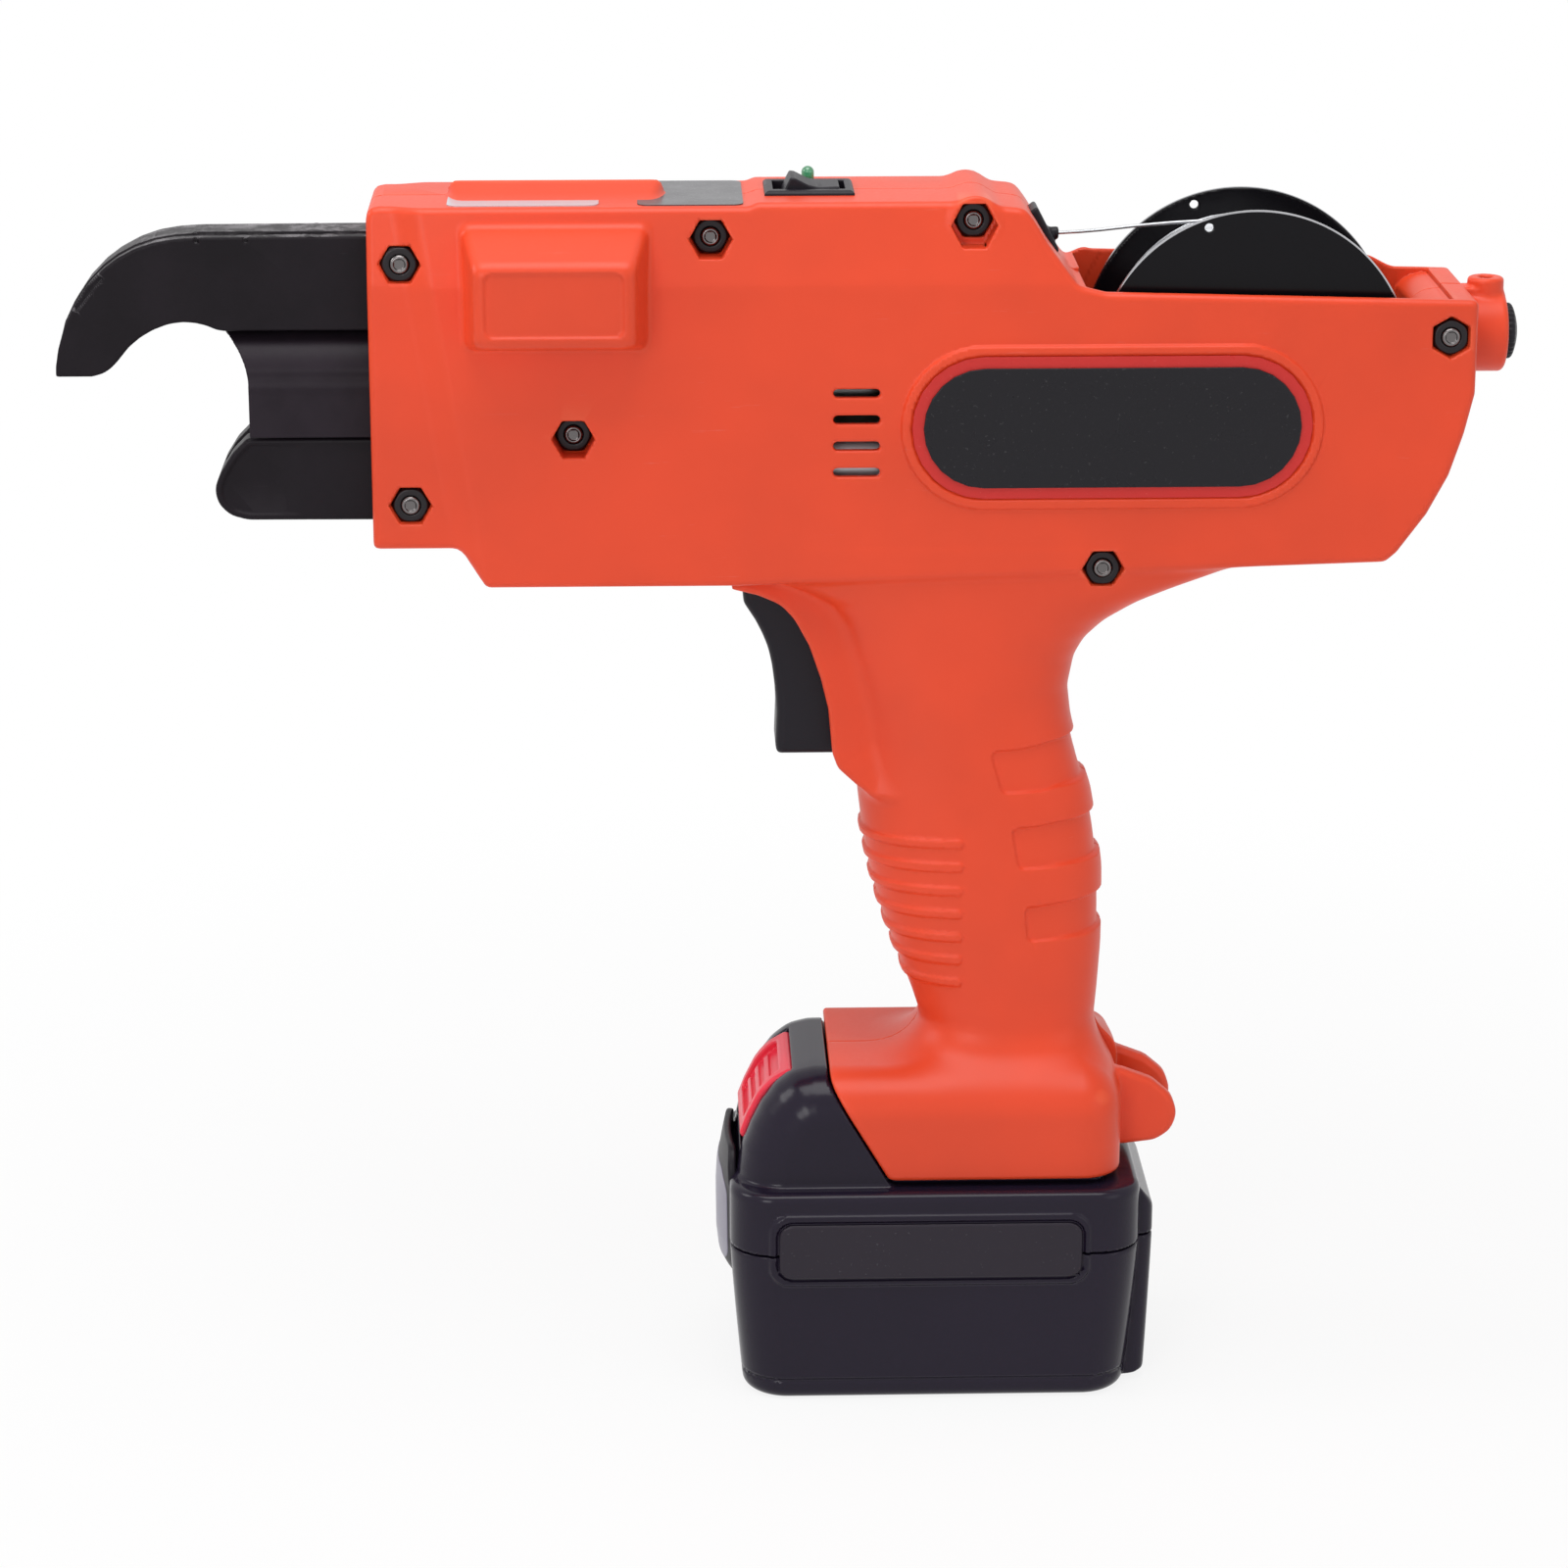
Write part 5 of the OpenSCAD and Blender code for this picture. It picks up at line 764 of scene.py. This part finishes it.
solid("guide_plate_pair", guide_plates, (-210, -11, 252), (-119, 11, 290), 0.42, "casing", "nose_steel",
      ["curl_guide_plates"])
solid("guide_core_strip", guide_core, (-210, -7, 252), (-119, 7, 290), 0.42, "casing", "nose_steel",
      ["curl_guide_core"])
# the tube's copy of the blackened steel is 1.9 times paler: a painted reflection of the bright floor and
# lamps on its sides
solid("barrel_tube", barrel, (-172, -14, 238), (-119.5, 14, 267), 0.45, "casing", "nose_steel",
      ["nose_barrel"], 0.35, material=blackened_steel("blackened_tube_painted_reflection", 1.9))
solid("jaw_block", jaw, (-174, -13, 217.5), (-119, 13, 242), 0.45, "lower_jaw", "nose_steel",
      ["lower_jaw"])
nodes["guide_rivets"].data.materials[0] = finishes["nose_steel"]


# Trigger

TRIGGER = plan(rounded(
    [(-38.8, 162.2), (-38.5, 170.5), (-38.7, 174.5), (-39.1, 178.1), (-39.6, 182), (-40.5, 186.3),
     (-42.0, 190), (-43.6, 193.2), (-46.4, 197.6), (-46.7, 200.7), (-43.6, 203), (-42, 208),
     (-38.9, 212.8), (-29.1, 211.8), (-27.7, 197.1), (-24.2, 186.3), (-19.3, 172.6), (-17.9, 161),
     (-18.5, 159.8), (-38.5, 159.8)],
    [0, 20, 20, 20, 20, 20, 20, 12, 3, 1.2, 3, 4, 5, 5, 9, 9, 9, 2, 1, 2.4], 4))


def trigger(x, y, z):
    """Lever of the trigger's outline with a rounded finger face, open behind for the spring and switch."""
    d = TRIGGER(x, z)
    f = corner(d, np.abs(y) - 8, 2.2)
    f = cut(f, rod(x, z, y, TRIGGER_PIN, 2.0, -20, 20), 0.2)
    return cut(f, np.maximum(np.maximum(d + 2.4, -30.5 - x + 0.28*(206 - z)), np.abs(y) - 5.6), 0.4)


solid("trigger_lever", trigger, (-49.5, -10, 156), (-15.5, 10, 215), 0.5, "trigger", "black_plastic",
      ["trigger"])


# Battery pack

HOOD = plan(rounded(
    [(-48.6, 45), (-48.5, 57), (-47.3, 63), (-45.2, 68.6), (-42.7, 73.7), (-39.3, 78.3), (-35.1, 81.6),
     (-30, 82.8), (-20, 82.9), (45, 82.9), (45, 45)],
    [1, 9, 9, 9, 9, 9, 9, 9, 9, 1, 1], 4))
LIP = plan(rounded(
    [(-49.9, 26.4), (-51.6, 27.2), (-52.8, 29.6), (-53.4, 35), (-53.5, 46.8), (-53.2, 52),
     (-51.4, 61.0), (-49.6, 60.4), (-50.7, 53), (-51.0, 46.8), (-50.6, 41), (-49.7, 36)],
    [1, 2, 5, 9, 20, 9, 0.8, 0.8, 9, 20, 3, 3], 4))
# Height of the seam between the shells, and half its gap
SEAM, SEAM_GAP = 39, 0.18


def case(x, y, z):
    """Case of the pack: a round-cornered box leaning in towards the foot, a soft frame round each side
    plate, a rear column, a line above the foot and a shallow slot in front."""
    lean = 3.3*np.clip(1 - z/40, 0, 1)**1.2
    pad = frame_rect(x, z, (-41.0, 31.2), (37.6, 49.8), 5.0)
    rim_line = np.abs(frame_rect(x, z, (-38.9, 33.0), (35.9, 47.7), 3.6)) - 0.15
    a = np.abs(y) - 0.6*(1 - step(pad, -0.45, 0.35)) + 0.8*(1 - step(rim_line, 0, 0.45))
    f = frame_rect(x, a, (-50.5 + lean, -33 + 0.65*lean), (50.5 - lean, 33 - 0.65*lean), 11.0)
    f = f + 0.3*(1 - step(np.abs(z - 5.3), 0.1, 0.5))
    f = smax(f, z - 54.94, 2.6)
    column = frame_rect(x, y, (30, -21.4), (54.3 - 0.5*lean, 21.4), 3.4)
    column = smax(smax(column, slab(z, 0.4, 52.6), 1.6), 0.8*(x - 52.4) + 0.6*(z - 49.4), 1.0)
    column = smax(column, 0.4*(x - 49.5) - 0.92*(z - 1.0), 1.0)
    f = smin(f, column, 0.5)
    f = cut(f, corner(frame_rect(y, z, (-21, 11.5), (21, 24.5), 2), slab(x, -60, -48.1), 0.2), 0.4)
    return corner(f, -z, 3.0)


def slope(x, z):
    """Place along the latch's slope and the hood's distance."""
    return (x + 40.5)*0.636 + (z - 71.0)*0.772, HOOD(x, z)


def pack_bottom(x, y, z):
    """Lower shell: the case below its seam."""
    return smax(case(x, y, z), z - (SEAM - SEAM_GAP), 0.5)


def pack_top(x, y, z):
    """Upper shell: the case above the seam, the hood with its round edges, and the slide that the casing
    takes, with grooves for the rails, slots for the terminals and the latch's pocket."""
    f = smax(case(x, y, z), SEAM + SEAM_GAP - z, 0.5)
    t, d = slope(x, z)
    hood = smax(corner(d, np.abs(y) - 28, 12.0), 50 - z, 0.5)
    near = base_front(x, z)
    f = smin(f, cut(hood, np.maximum(-26.4 - x, -0.4 - near), 0.5), 1.6)
    slide = block(x, y, z, (-25, -24.65, 48), (41.1, 24.65, 77.65), 3.0)
    f = np.minimum(f, smax(slide, -near - 2, 0.4))
    f = cut(f, block(x, np.abs(y), z, (-14, 21.5, 61.35), (60, 40, 65.15), 0.2), 0.3)
    for y0 in (-15, -5, 5, 13):
        f = cut(f, block(x, y, z, (24, y0 - 1.3, 61.7), (60, y0 + 1.3, 90), 0.2), 0.3)
    pocket = np.maximum(np.maximum(slab(t, -13.6, 11.2), -9.8 - d), np.abs(y) - 14.6)
    return cut(f, pocket, 0.6)


def latch(x, y, z):
    """Latch button on the hood's slope: a frame round a thumb hollow with three ribs across."""
    t, d = slope(x, z)
    d = d + 1.2*step(t, 2, 12)
    f = corner(corner(slab(d, -4.2, 1.1), slab(t, -10.3, 10.9), 1.0), np.abs(y) - 14.2, 1.0)
    inner = frame_rect(y, t, (-10.8, -7.0), (10.8, 8.0), 1.5)
    rib = np.minimum(np.abs(t + 3.6), np.minimum(np.abs(t), np.abs(t - 3.6))) - 0.75
    floor_at = -0.5 - 0.07*t
    hollow = np.maximum(inner, floor_at - d)
    hollow = cut(hollow, np.maximum(np.maximum(rib, np.abs(y) - 8.4), d - floor_at - 0.9), 0.3)
    return cut(f, hollow, 0.4)


def bow(y, z):
    """How far the tab falls back from its middle: as the square of y, less towards its free end."""
    return 3.8*(y/17.6)**2*(1 - 0.6*step(z, 46, 58))


def lip(x, y, z):
    """Tab on the front of the pack, curved both ways, its corners rounded."""
    return corner(LIP(x - bow(y, z), z), frame_rect(y, z, (-17.6, 25.8), (17.6, 61.6), 8.0), 0.8)


def lip_film(x, y, z):
    """Bare film on the tab's front, a little proud of it."""
    x = x - bow(y, z)
    f = corner(LIP(x, z) - 0.16, frame_rect(y, z, (-14.2, 29.4), (14.2, 53.5), 6.0), 0.1)
    return smax(f, x + 51.6, 0.1)


def side_plate(x, y, z):
    """Bare plate in the frame on each side of the case."""
    return corner(frame_rect(x, z, (-38.6, 33.3), (35.6, 47.4), 3.3), slab(np.abs(y), 32, 33.75), 0.3)


solid("pack_lower_shell", pack_bottom, (-52.5, -35.5, -2), (58, 35.5, 41), 0.8, "pack", "pack_plastic",
      ["pack_bottom"])
solid("pack_upper_shell", pack_top, (-52.5, -35.5, 37), (58, 35.5, 85), 0.7, "pack", "pack_plastic",
      ["pack_top"])
solid("latch_button", latch, (-52, -15.5, 56), (-26, 15.5, 85), 0.4, "pack_latch", "latch_red",
      ["pack_latch"])
solid("lip_tab", lip, (-55.5, -19.5, 24), (-44, 19.5, 63.5), 0.45, "pack", "black_plastic",
      ["pull_lip"])
solid("lip_label", lip_film, (-55, -16, 27.5), (-47.5, 16, 55.5), 0.33, "pack", "label_film", (), 0.4,
      material=printed("lip_film", (0.26, 0.245, 0.31), 0.3))
solid("side_plates", side_plate, (-40.5, -35, 31.5), (37.5, 35, 49.2), 0.55, "pack", "pack_plate",
      ["pack_plates"], 0.5)


# Tail: boss with its eyelet, and the dial

DIAL_Z, EYELET = 261.6, (130.4, 0)


def tail_boss(x, y, z):
    """Round boss behind the reel, hollow for the dial, with a flat eyelet on top."""
    f = rod(y, z, x, (0, DIAL_Z), 9.6, 123.95, 135, 1.3)
    ring = rod(x, y, z, EYELET, 4.3, 266, 274.7, 0.9)
    f = smin(f, ring, 1.2)
    f = smin(f, block(x, y, z, (124, -3.4, 266), (130.4, 3.4, 272.6), 0.8), 0.8)
    f = cut(f, rod(y, z, x, (0, DIAL_Z), 6.95, 127.3, 150), 0.5)
    f = cut(f, rod(x, y, z, EYELET, 1.7, 269.4, 290), 0.5)
    return smax(f, 124 - x, 0.2)


def dial(x, y, z):
    """Dial cap: a disc with a domed face, a pointer groove and fine teeth round its edge."""
    a, r = np.arctan2(y, z - DIAL_Z), np.hypot(y, z - DIAL_Z)
    f = corner(r - 6.55 + 0.12*np.cos(30*a), slab(x, 131.3, 138.25 - 1.5*(r/6.6)**2), 0.6)
    return cut(f, np.maximum(np.abs(y) - 0.7, np.maximum(DIAL_Z - z, 137.1 - x)), 0.25)


solid("tail_boss_shell", tail_boss, (122.5, -11.5, 250), (137, 11.5, 277), 0.45, "casing", "casing_plastic",
      ["tail_boss"])
solid("dial_cap", dial, (130, -8, 253), (140, 8, 270), 0.32, "torque_dial", "black_plastic",
      ["torque_dial"])


# Wire and spring: round sections carried along paths

def tube(name, path, r, sides, body, slot, replaces=()):
    """Round tube along a path: at each point a ring of the radius r across the path's direction, laid out
    from the Y axis, or from X where the path runs along Y, and the ends closed by a point."""
    p = np.asarray(path, float)
    t = np.gradient(p, axis=0)
    t /= np.linalg.norm(t, axis=1)[:, None]
    ref = np.where(np.abs(t[:, 1:2]) < 0.8, [[0.0, 1.0, 0.0]], [[1.0, 0.0, 0.0]])
    u = np.cross(t, ref)
    u /= np.linalg.norm(u, axis=1)[:, None]
    v = np.cross(t, u)
    a = np.linspace(0, 2*math.pi, sides, endpoint=False)
    ring = p[:, None] + r*(np.cos(a)[None, :, None]*u[:, None] + np.sin(a)[None, :, None]*v[:, None])
    n = len(p)
    co = np.concatenate([ring.reshape(-1, 3), p[:1] - 0.3*r*t[:1], p[-1:] + 0.3*r*t[-1:]])
    i, j = np.meshgrid(np.arange(n - 1), np.arange(sides), indexing="ij")
    k = (j + 1) % sides
    quads = np.stack([i*sides + j, i*sides + k, (i + 1)*sides + k, (i + 1)*sides + j], -1).reshape(-1, 4)
    j, k = np.arange(sides), (np.arange(sides) + 1) % sides
    first = np.stack([np.full(sides, n*sides), k, j], -1)
    last = np.stack([np.full(sides, n*sides + 1), (n - 1)*sides + j, (n - 1)*sides + k], -1)
    mesh = bpy.data.meshes.new(name)
    mesh.from_pydata(co*MM, [], quads.tolist() + first.tolist() + last.tolist())
    mesh.shade_smooth()
    return place(name, body, slot, mesh, replaces)


def loops(turns, r, y0, y1, per=56, wave=0.0):
    """Winding on the reel: a circle of radius r that moves along the axle, with a slight wave."""
    s = np.linspace(0, 1, int(turns*per) + 1)
    a = math.pi/2 + 2*math.pi*turns*s
    rr = r + wave*np.sin(7.3*a) + 0.6*wave*np.sin(3.1*a + 1)
    along = y0 + (y1 - y0)*s + 0.8*wave*np.sin(2.7*a)
    return np.stack([REEL[0] + rr*np.cos(a), along, REEL[1] + rr*np.sin(a)], 1)


layers = [loops(28, 30.25, -13.9, 13.9)[:-1], loops(22, 31.0, 13.86, -13.86, wave=0.05)]
tube("wound_wire", np.concatenate(layers), 0.41, 6, "reel", "wire_steel", ["wire_winding"])
way = np.array([
    (71.072, 288.673), (64, 288.45), (55, 287.95), (46, 287.2), (38.1626, 286.35), (33.2349, 285.95),
    (27.5294, 285.667), (21.0461, 285.382), (13.785, 285.051), (-33.4558, 282.876),
    (-91.1966, 280.217), (-100.797, 279.57), (-115.791, 278.238)])
s = np.linspace(0, len(way) - 1, 97)
k = np.arange(len(way))
run = np.stack([np.interp(s, k, way[:, 0]), 0*s, np.interp(s, k, way[:, 1])], 1)
tube("wire_run", run, 0.4, 8, "casing", "wire_steel", ["wire_strand"])
COIL_TURNS, COIL_R = 6, 2.4
s = np.linspace(0, 1, COIL_TURNS*40 + 1)
ends = np.interp(s, [0, 0.12, 0.88, 1], [0, 0.055, 0.945, 1])
a = 2*math.pi*COIL_TURNS*s
coil = np.stack([-27.18 + 18.4*ends, COIL_R*np.cos(a), 169.66 + COIL_R*np.sin(a)], 1)
spring = tube("trigger_coil", coil, 0.48, 8, "casing", "spring_steel", ["trigger_spring"])
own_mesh(spring)


def rim(name, y0, y1, r):
    """Bright steel band on the rounded edge of a reel flange, a painted highlight along its polished edge:
    a thin band turned round the reel's axle.
    """
    n = 180
    a = np.linspace(0, 2*math.pi, n, endpoint=False)
    prof = np.array([
        (r - 0.25, y0 - 0.03), (r + 0.02, y0 - 0.03), (r + 0.12, y0 + 0.2), (r + 0.12, y1 - 0.2),
        (r + 0.02, y1 + 0.03), (r - 0.25, y1 + 0.03)])
    m = len(prof)
    co = np.stack([REEL[0] + prof[None, :, 0]*np.cos(a)[:, None], np.broadcast_to(prof[None, :, 1], (n, m)),
                   REEL[1] + prof[None, :, 0]*np.sin(a)[:, None]], -1).reshape(-1, 3)
    i, j = np.meshgrid(np.arange(n), np.arange(m), indexing="ij")
    o, k = (i + 1) % n, (j + 1) % m
    quads = np.stack([i*m + j, i*m + k, o*m + k, o*m + j], -1).reshape(-1, 4)
    mesh = bpy.data.meshes.new(name)
    mesh.from_pydata(co*MM, [], quads.tolist())
    b = bmesh.new()
    b.from_mesh(mesh)
    bmesh.ops.recalc_face_normals(b, faces=b.faces)
    b.to_mesh(mesh)
    b.free()
    mesh.shade_smooth()
    mesh.set_sharp_from_angle(angle=math.radians(40))
    return place(name, "reel", "bright_steel", mesh)


def spool(x, y, z):
    """Reel: two thin flanges with a small hole each, on a hub with its bore."""
    u, v = x - REEL[0], z - REEL[1]
    r = np.hypot(u, v)
    f = np.minimum(corner(r - 37, slab(np.abs(y), 14.9, 16.5), 0.25), corner(r - 14, np.abs(y) - 16.5, 0.3))
    f = cut(f, r - 6.1, 0.3)
    return cut(f, np.hypot(u + 11.1, v - 33.0) - 1.05, 0.2)


solid("reel_flanges", spool, (34.5, -18.3, 217.8), (112.1, 18.3, 295.4), 0.62, "reel", "reel_plastic",
      ["reel_spool"], 0.4)
# bright bands over both flanges' edges: painted highlights
rim("rim_highlight_left", -16.5, -15.8, 37.0)
rim("rim_highlight_right", 15.8, 16.5, 37.0)


# Nuts and bolt ends in their pockets, the switch, the lamp and the wire's grommet

def nut(turn):
    """Hexagon nut standing outwards from the origin, its outer corners taken off by a cone."""
    def field(x, y, z):
        r = np.hypot(x, z)
        f = corner(hexagon(x, z, (0, 0), 7.8, turn), slab(-y, 0, 3.3), 0.25)
        f = smax(f, 0.87*(r - 4.2) + 0.5*(-y - 2.7), 0.2)
        return cut(f, r - 2.3, 0.3)
    return field


def bolt_end(x, y, z):
    """End of a bolt past its nut: a bevelled rim round a shallow dish."""
    r = np.hypot(x, z)
    f = smax(corner(r - 2.25, slab(-y, 0.5, 3.9), 0.15), 0.7*(r - 2.0) + 0.7*(-y - 3.7), 0.15)
    return cut(f, np.maximum(r - 1.35, 3.55 + y), 0.3)


spots = np.stack([BOLTS[:, 0], -np.array(NUT_DEPTH), BOLTS[:, 1]], 1)
small = ((-5.5, -4.5, -5.5), (5.5, 1.2, 5.5), 0.33)
solid("nut_row", nut(0), *small, "casing", "black_oxide_steel", ["casing_nuts"], 0.5, spots[:REAR_BOLT])
solid("nut_rear", nut(30), *small, "casing", "black_oxide_steel", (), 0.5, spots[REAR_BOLT:])
solid("bolt_ends", bolt_end, *small, "casing", "dark_steel", (), 0.5, spots)

ROCKER = plan(rounded(
    [(-37.4, 293), (-37.0, 296.4), (-35.2, 300.0), (-34.1, 299.9), (-31.0, 298.3), (-28.6, 297.7),
     (-23.6, 297.9), (-23.3, 293)],
    [0.3, 0.6, 0.4, 0.6, 4, 4, 0.6, 0.3], 4))


def bezel(x, y, z):
    """Switch frame: a plate with bevelled edges round the rocker's well, its box below the casing's top."""
    f = block(x, y, z, (-41.3, -9.2, 295.0), (-20.2, 9.2, 297.5), 0.3)
    f = smax(f, 0.6*(np.maximum(np.abs(x + 30.75) - 10.55, np.abs(y) - 9.2) + 1.3*(z - 296.9)), 0.2)
    f = np.minimum(f, block(x, y, z, (-40.1, -6.3, 285.2), (-21.5, 6.3, 296), 0.3))
    return cut(f, block(x, y, z, (-39.2, -5.9, 289.8), (-22.3, 5.9, 310), 0.3), 0.25)


def rocker(x, y, z):
    """Rocker: its front end up, a thumb dish across the middle and two grip lines on each end."""
    f = corner(ROCKER(x, z), np.abs(y) - 5.5, 0.45)
    lines = np.minimum(np.abs(np.abs(x + 25.2) - 0.5), np.abs(np.abs(x + 33.1) - 9)) - 0.16
    return cut(f, np.maximum(np.maximum(lines, 297.9 - z), np.abs(y) - 3.6), 0.1)


def lamp_dome(x, y, z):
    """Small round lamp: a stem with a collar and a domed end."""
    r = np.hypot(x + 30.5, y - 12.54)
    f = np.maximum(np.hypot(r, np.maximum(z - 298.3, 0)) - 1.52, 292 - z)
    return smin(f, corner(r - 1.95, slab(z, 294.5, 296.5), 0.25), 0.2)


def grommet(x, y, z):
    """Grommet on the slope: a thin rounded plate in its window with a nozzle round the wire."""
    n = (x - 18)*0.777 + (z - 293.7)*0.628
    q = (x - 24.6)*0.628 - (z - 285.7)*0.777
    f = block(n + 0.2*q, q, y, (-7, -6.6, -4.85), (1.9, 5.2, 4.85), 0.8)
    tip = rod(y, z - 0.045*(x - 29.1), x, (0, 285.76), 1.5, 19, 28.4, 0.5)
    return cut(smin(f, tip, 0.8), rod(y, z - 0.045*(x - 29.1), x, (0, 285.76), 0.62, 0, 60), 0.2)


solid("switch_frame", bezel, (-43, -10, 284), (-18.8, 10, 299), 0.38, "casing", "black_plastic",
      ["switch_body"], 0.6)
solid("switch_rocker", rocker, (-39.5, -7, 291.5), (-21.5, 7, 302.5), 0.3, "rocker", "black_plastic",
      ["rocker"], 0.6)
solid("lamp_lens_dome", lamp_dome, (-33, 9.8, 291), (-28, 15.2, 301), 0.2, "casing", "lamp_green",
      ["status_led"], 0.4)
solid("wire_grommet", grommet, (14, -6.5, 276), (34, 6.5, 296), 0.4, "casing", "black_plastic",
      ["wire_guide"], 0.6)

for node, width in (("casing_bolts", 0.3), ("reel_release", 0.5), ("badge_plate", 0.2),
                    ("badge_border", 0.2), ("strap_pin", 0.3)):
    soften(node, width)


# Stage

# The rays that see the white of the floor and the room, and the room's light for all others
SEEN_BY, ROOM_LIGHT = ("Is Camera Ray", "Is Glossy Ray", "Is Transmission Ray"), 0.33


def floor_finish():
    """Pale floor: white to the camera, a little darker where the object shades it."""
    f = Finish("pale_floor", roughness=0.6)
    f.set(base_color=f.blend((0.86, 0.86, 0.87), (0.88, 0.88, 0.88), f.noise(2, 2)))
    seen = f.node("ShaderNodeLightPath", out=SEEN_BY[0])
    for ray in SEEN_BY[1:]:
        seen = seen.most(f.node("ShaderNodeLightPath", out=ray))
    white = f.node("ShaderNodeEmission", None, {"Color": (1, 1, 1), "Strength": 1.0})
    far = (f.axis("X")**2.0 + f.axis("Y")**2.0)**0.5
    mixed = f.node("ShaderNodeMixShader", None, {
        0: (0.86 + 0.14*far.between(0.18, 0.5))*seen, 1: Signal(f, f.shader.outputs[0]), 2: white})
    f.tree.links.new(mixed.socket, f.tree.nodes["Material Output"].inputs[0])
    return f.material


span = np.linspace(-2.5, 2.5, 2)
gx, gy = np.meshgrid(span, span, indexing="ij")
ground = bpy.data.meshes.new("floor")
ground.from_pydata(np.stack([gx, gy, np.zeros_like(gx)], -1).reshape(-1, 3), [], [(0, 2, 3, 1)])
floor = bpy.data.objects.new("floor", ground)
bpy.context.scene.collection.objects.link(floor)
ground.materials.append(floor_finish())

world = bpy.data.worlds.new("studio")
bpy.context.scene.world = world
world.use_nodes = True
wt = world.node_tree
path = wt.nodes.new("ShaderNodeLightPath")
shown = path.outputs[SEEN_BY[0]]
for ray in SEEN_BY[1:]:
    either = wt.nodes.new("ShaderNodeMath")
    either.operation = "MAXIMUM"
    wt.links.new(shown, either.inputs[0])
    wt.links.new(path.outputs[ray], either.inputs[1])
    shown = either.outputs[0]
level = wt.nodes.new("ShaderNodeMapRange")
level.inputs["To Min"].default_value = ROOM_LIGHT
level.inputs["To Max"].default_value = 1.0
wt.links.new(shown, level.inputs["Value"])
wt.nodes["Background"].inputs[0].default_value = (1, 1, 1, 1)
wt.links.new(level.outputs[0], wt.nodes["Background"].inputs[1])


def lamp(name, at, aim, size, power):
    """Soft box that faces a point."""
    data = bpy.data.lights.new(name, "AREA")
    data.shape, data.size, data.energy = "DISK", size, power
    o = bpy.data.objects.new(name, data)
    bpy.context.scene.collection.objects.link(o)
    o.location = at
    o.rotation_mode = "QUATERNION"
    o.rotation_quaternion = (Vector(at) - Vector(aim)).to_track_quat("Z", "Y")


middle = (-0.03, 0, 0.16)
lamp("top_box", (-0.1, -0.25, 1.35), middle, 1.0, 10.5)
lamp("key_box", (-0.55, -1.35, 0.56), middle, 0.55, 4.2)
lamp("fill_box", (0.95, -0.95, 0.55), middle, 0.9, 1.7)
lamp("front_box", (-1.05, 0, 0.78), (-0.02, 0, 0.1), 0.5, 2.8)

camera = bpy.data.cameras.new("camera")
camera.lens, camera.sensor_width = 108, 36
eye = bpy.data.objects.new("camera", camera)
bpy.context.scene.collection.objects.link(eye)
tilt, turn = math.radians(17), math.radians(-1.7)
back = Vector((math.sin(turn)*math.cos(tilt), -math.cos(turn)*math.cos(tilt), math.sin(tilt)))
target, distance = Vector((-0.0365, 0, 0.150)), 1.15
eye.location = target + distance*back
eye.rotation_mode = "QUATERNION"
eye.rotation_quaternion = back.to_track_quat("Z", "Y")
bpy.context.scene.camera = eye
bpy.context.scene.view_settings.view_transform = "Standard"
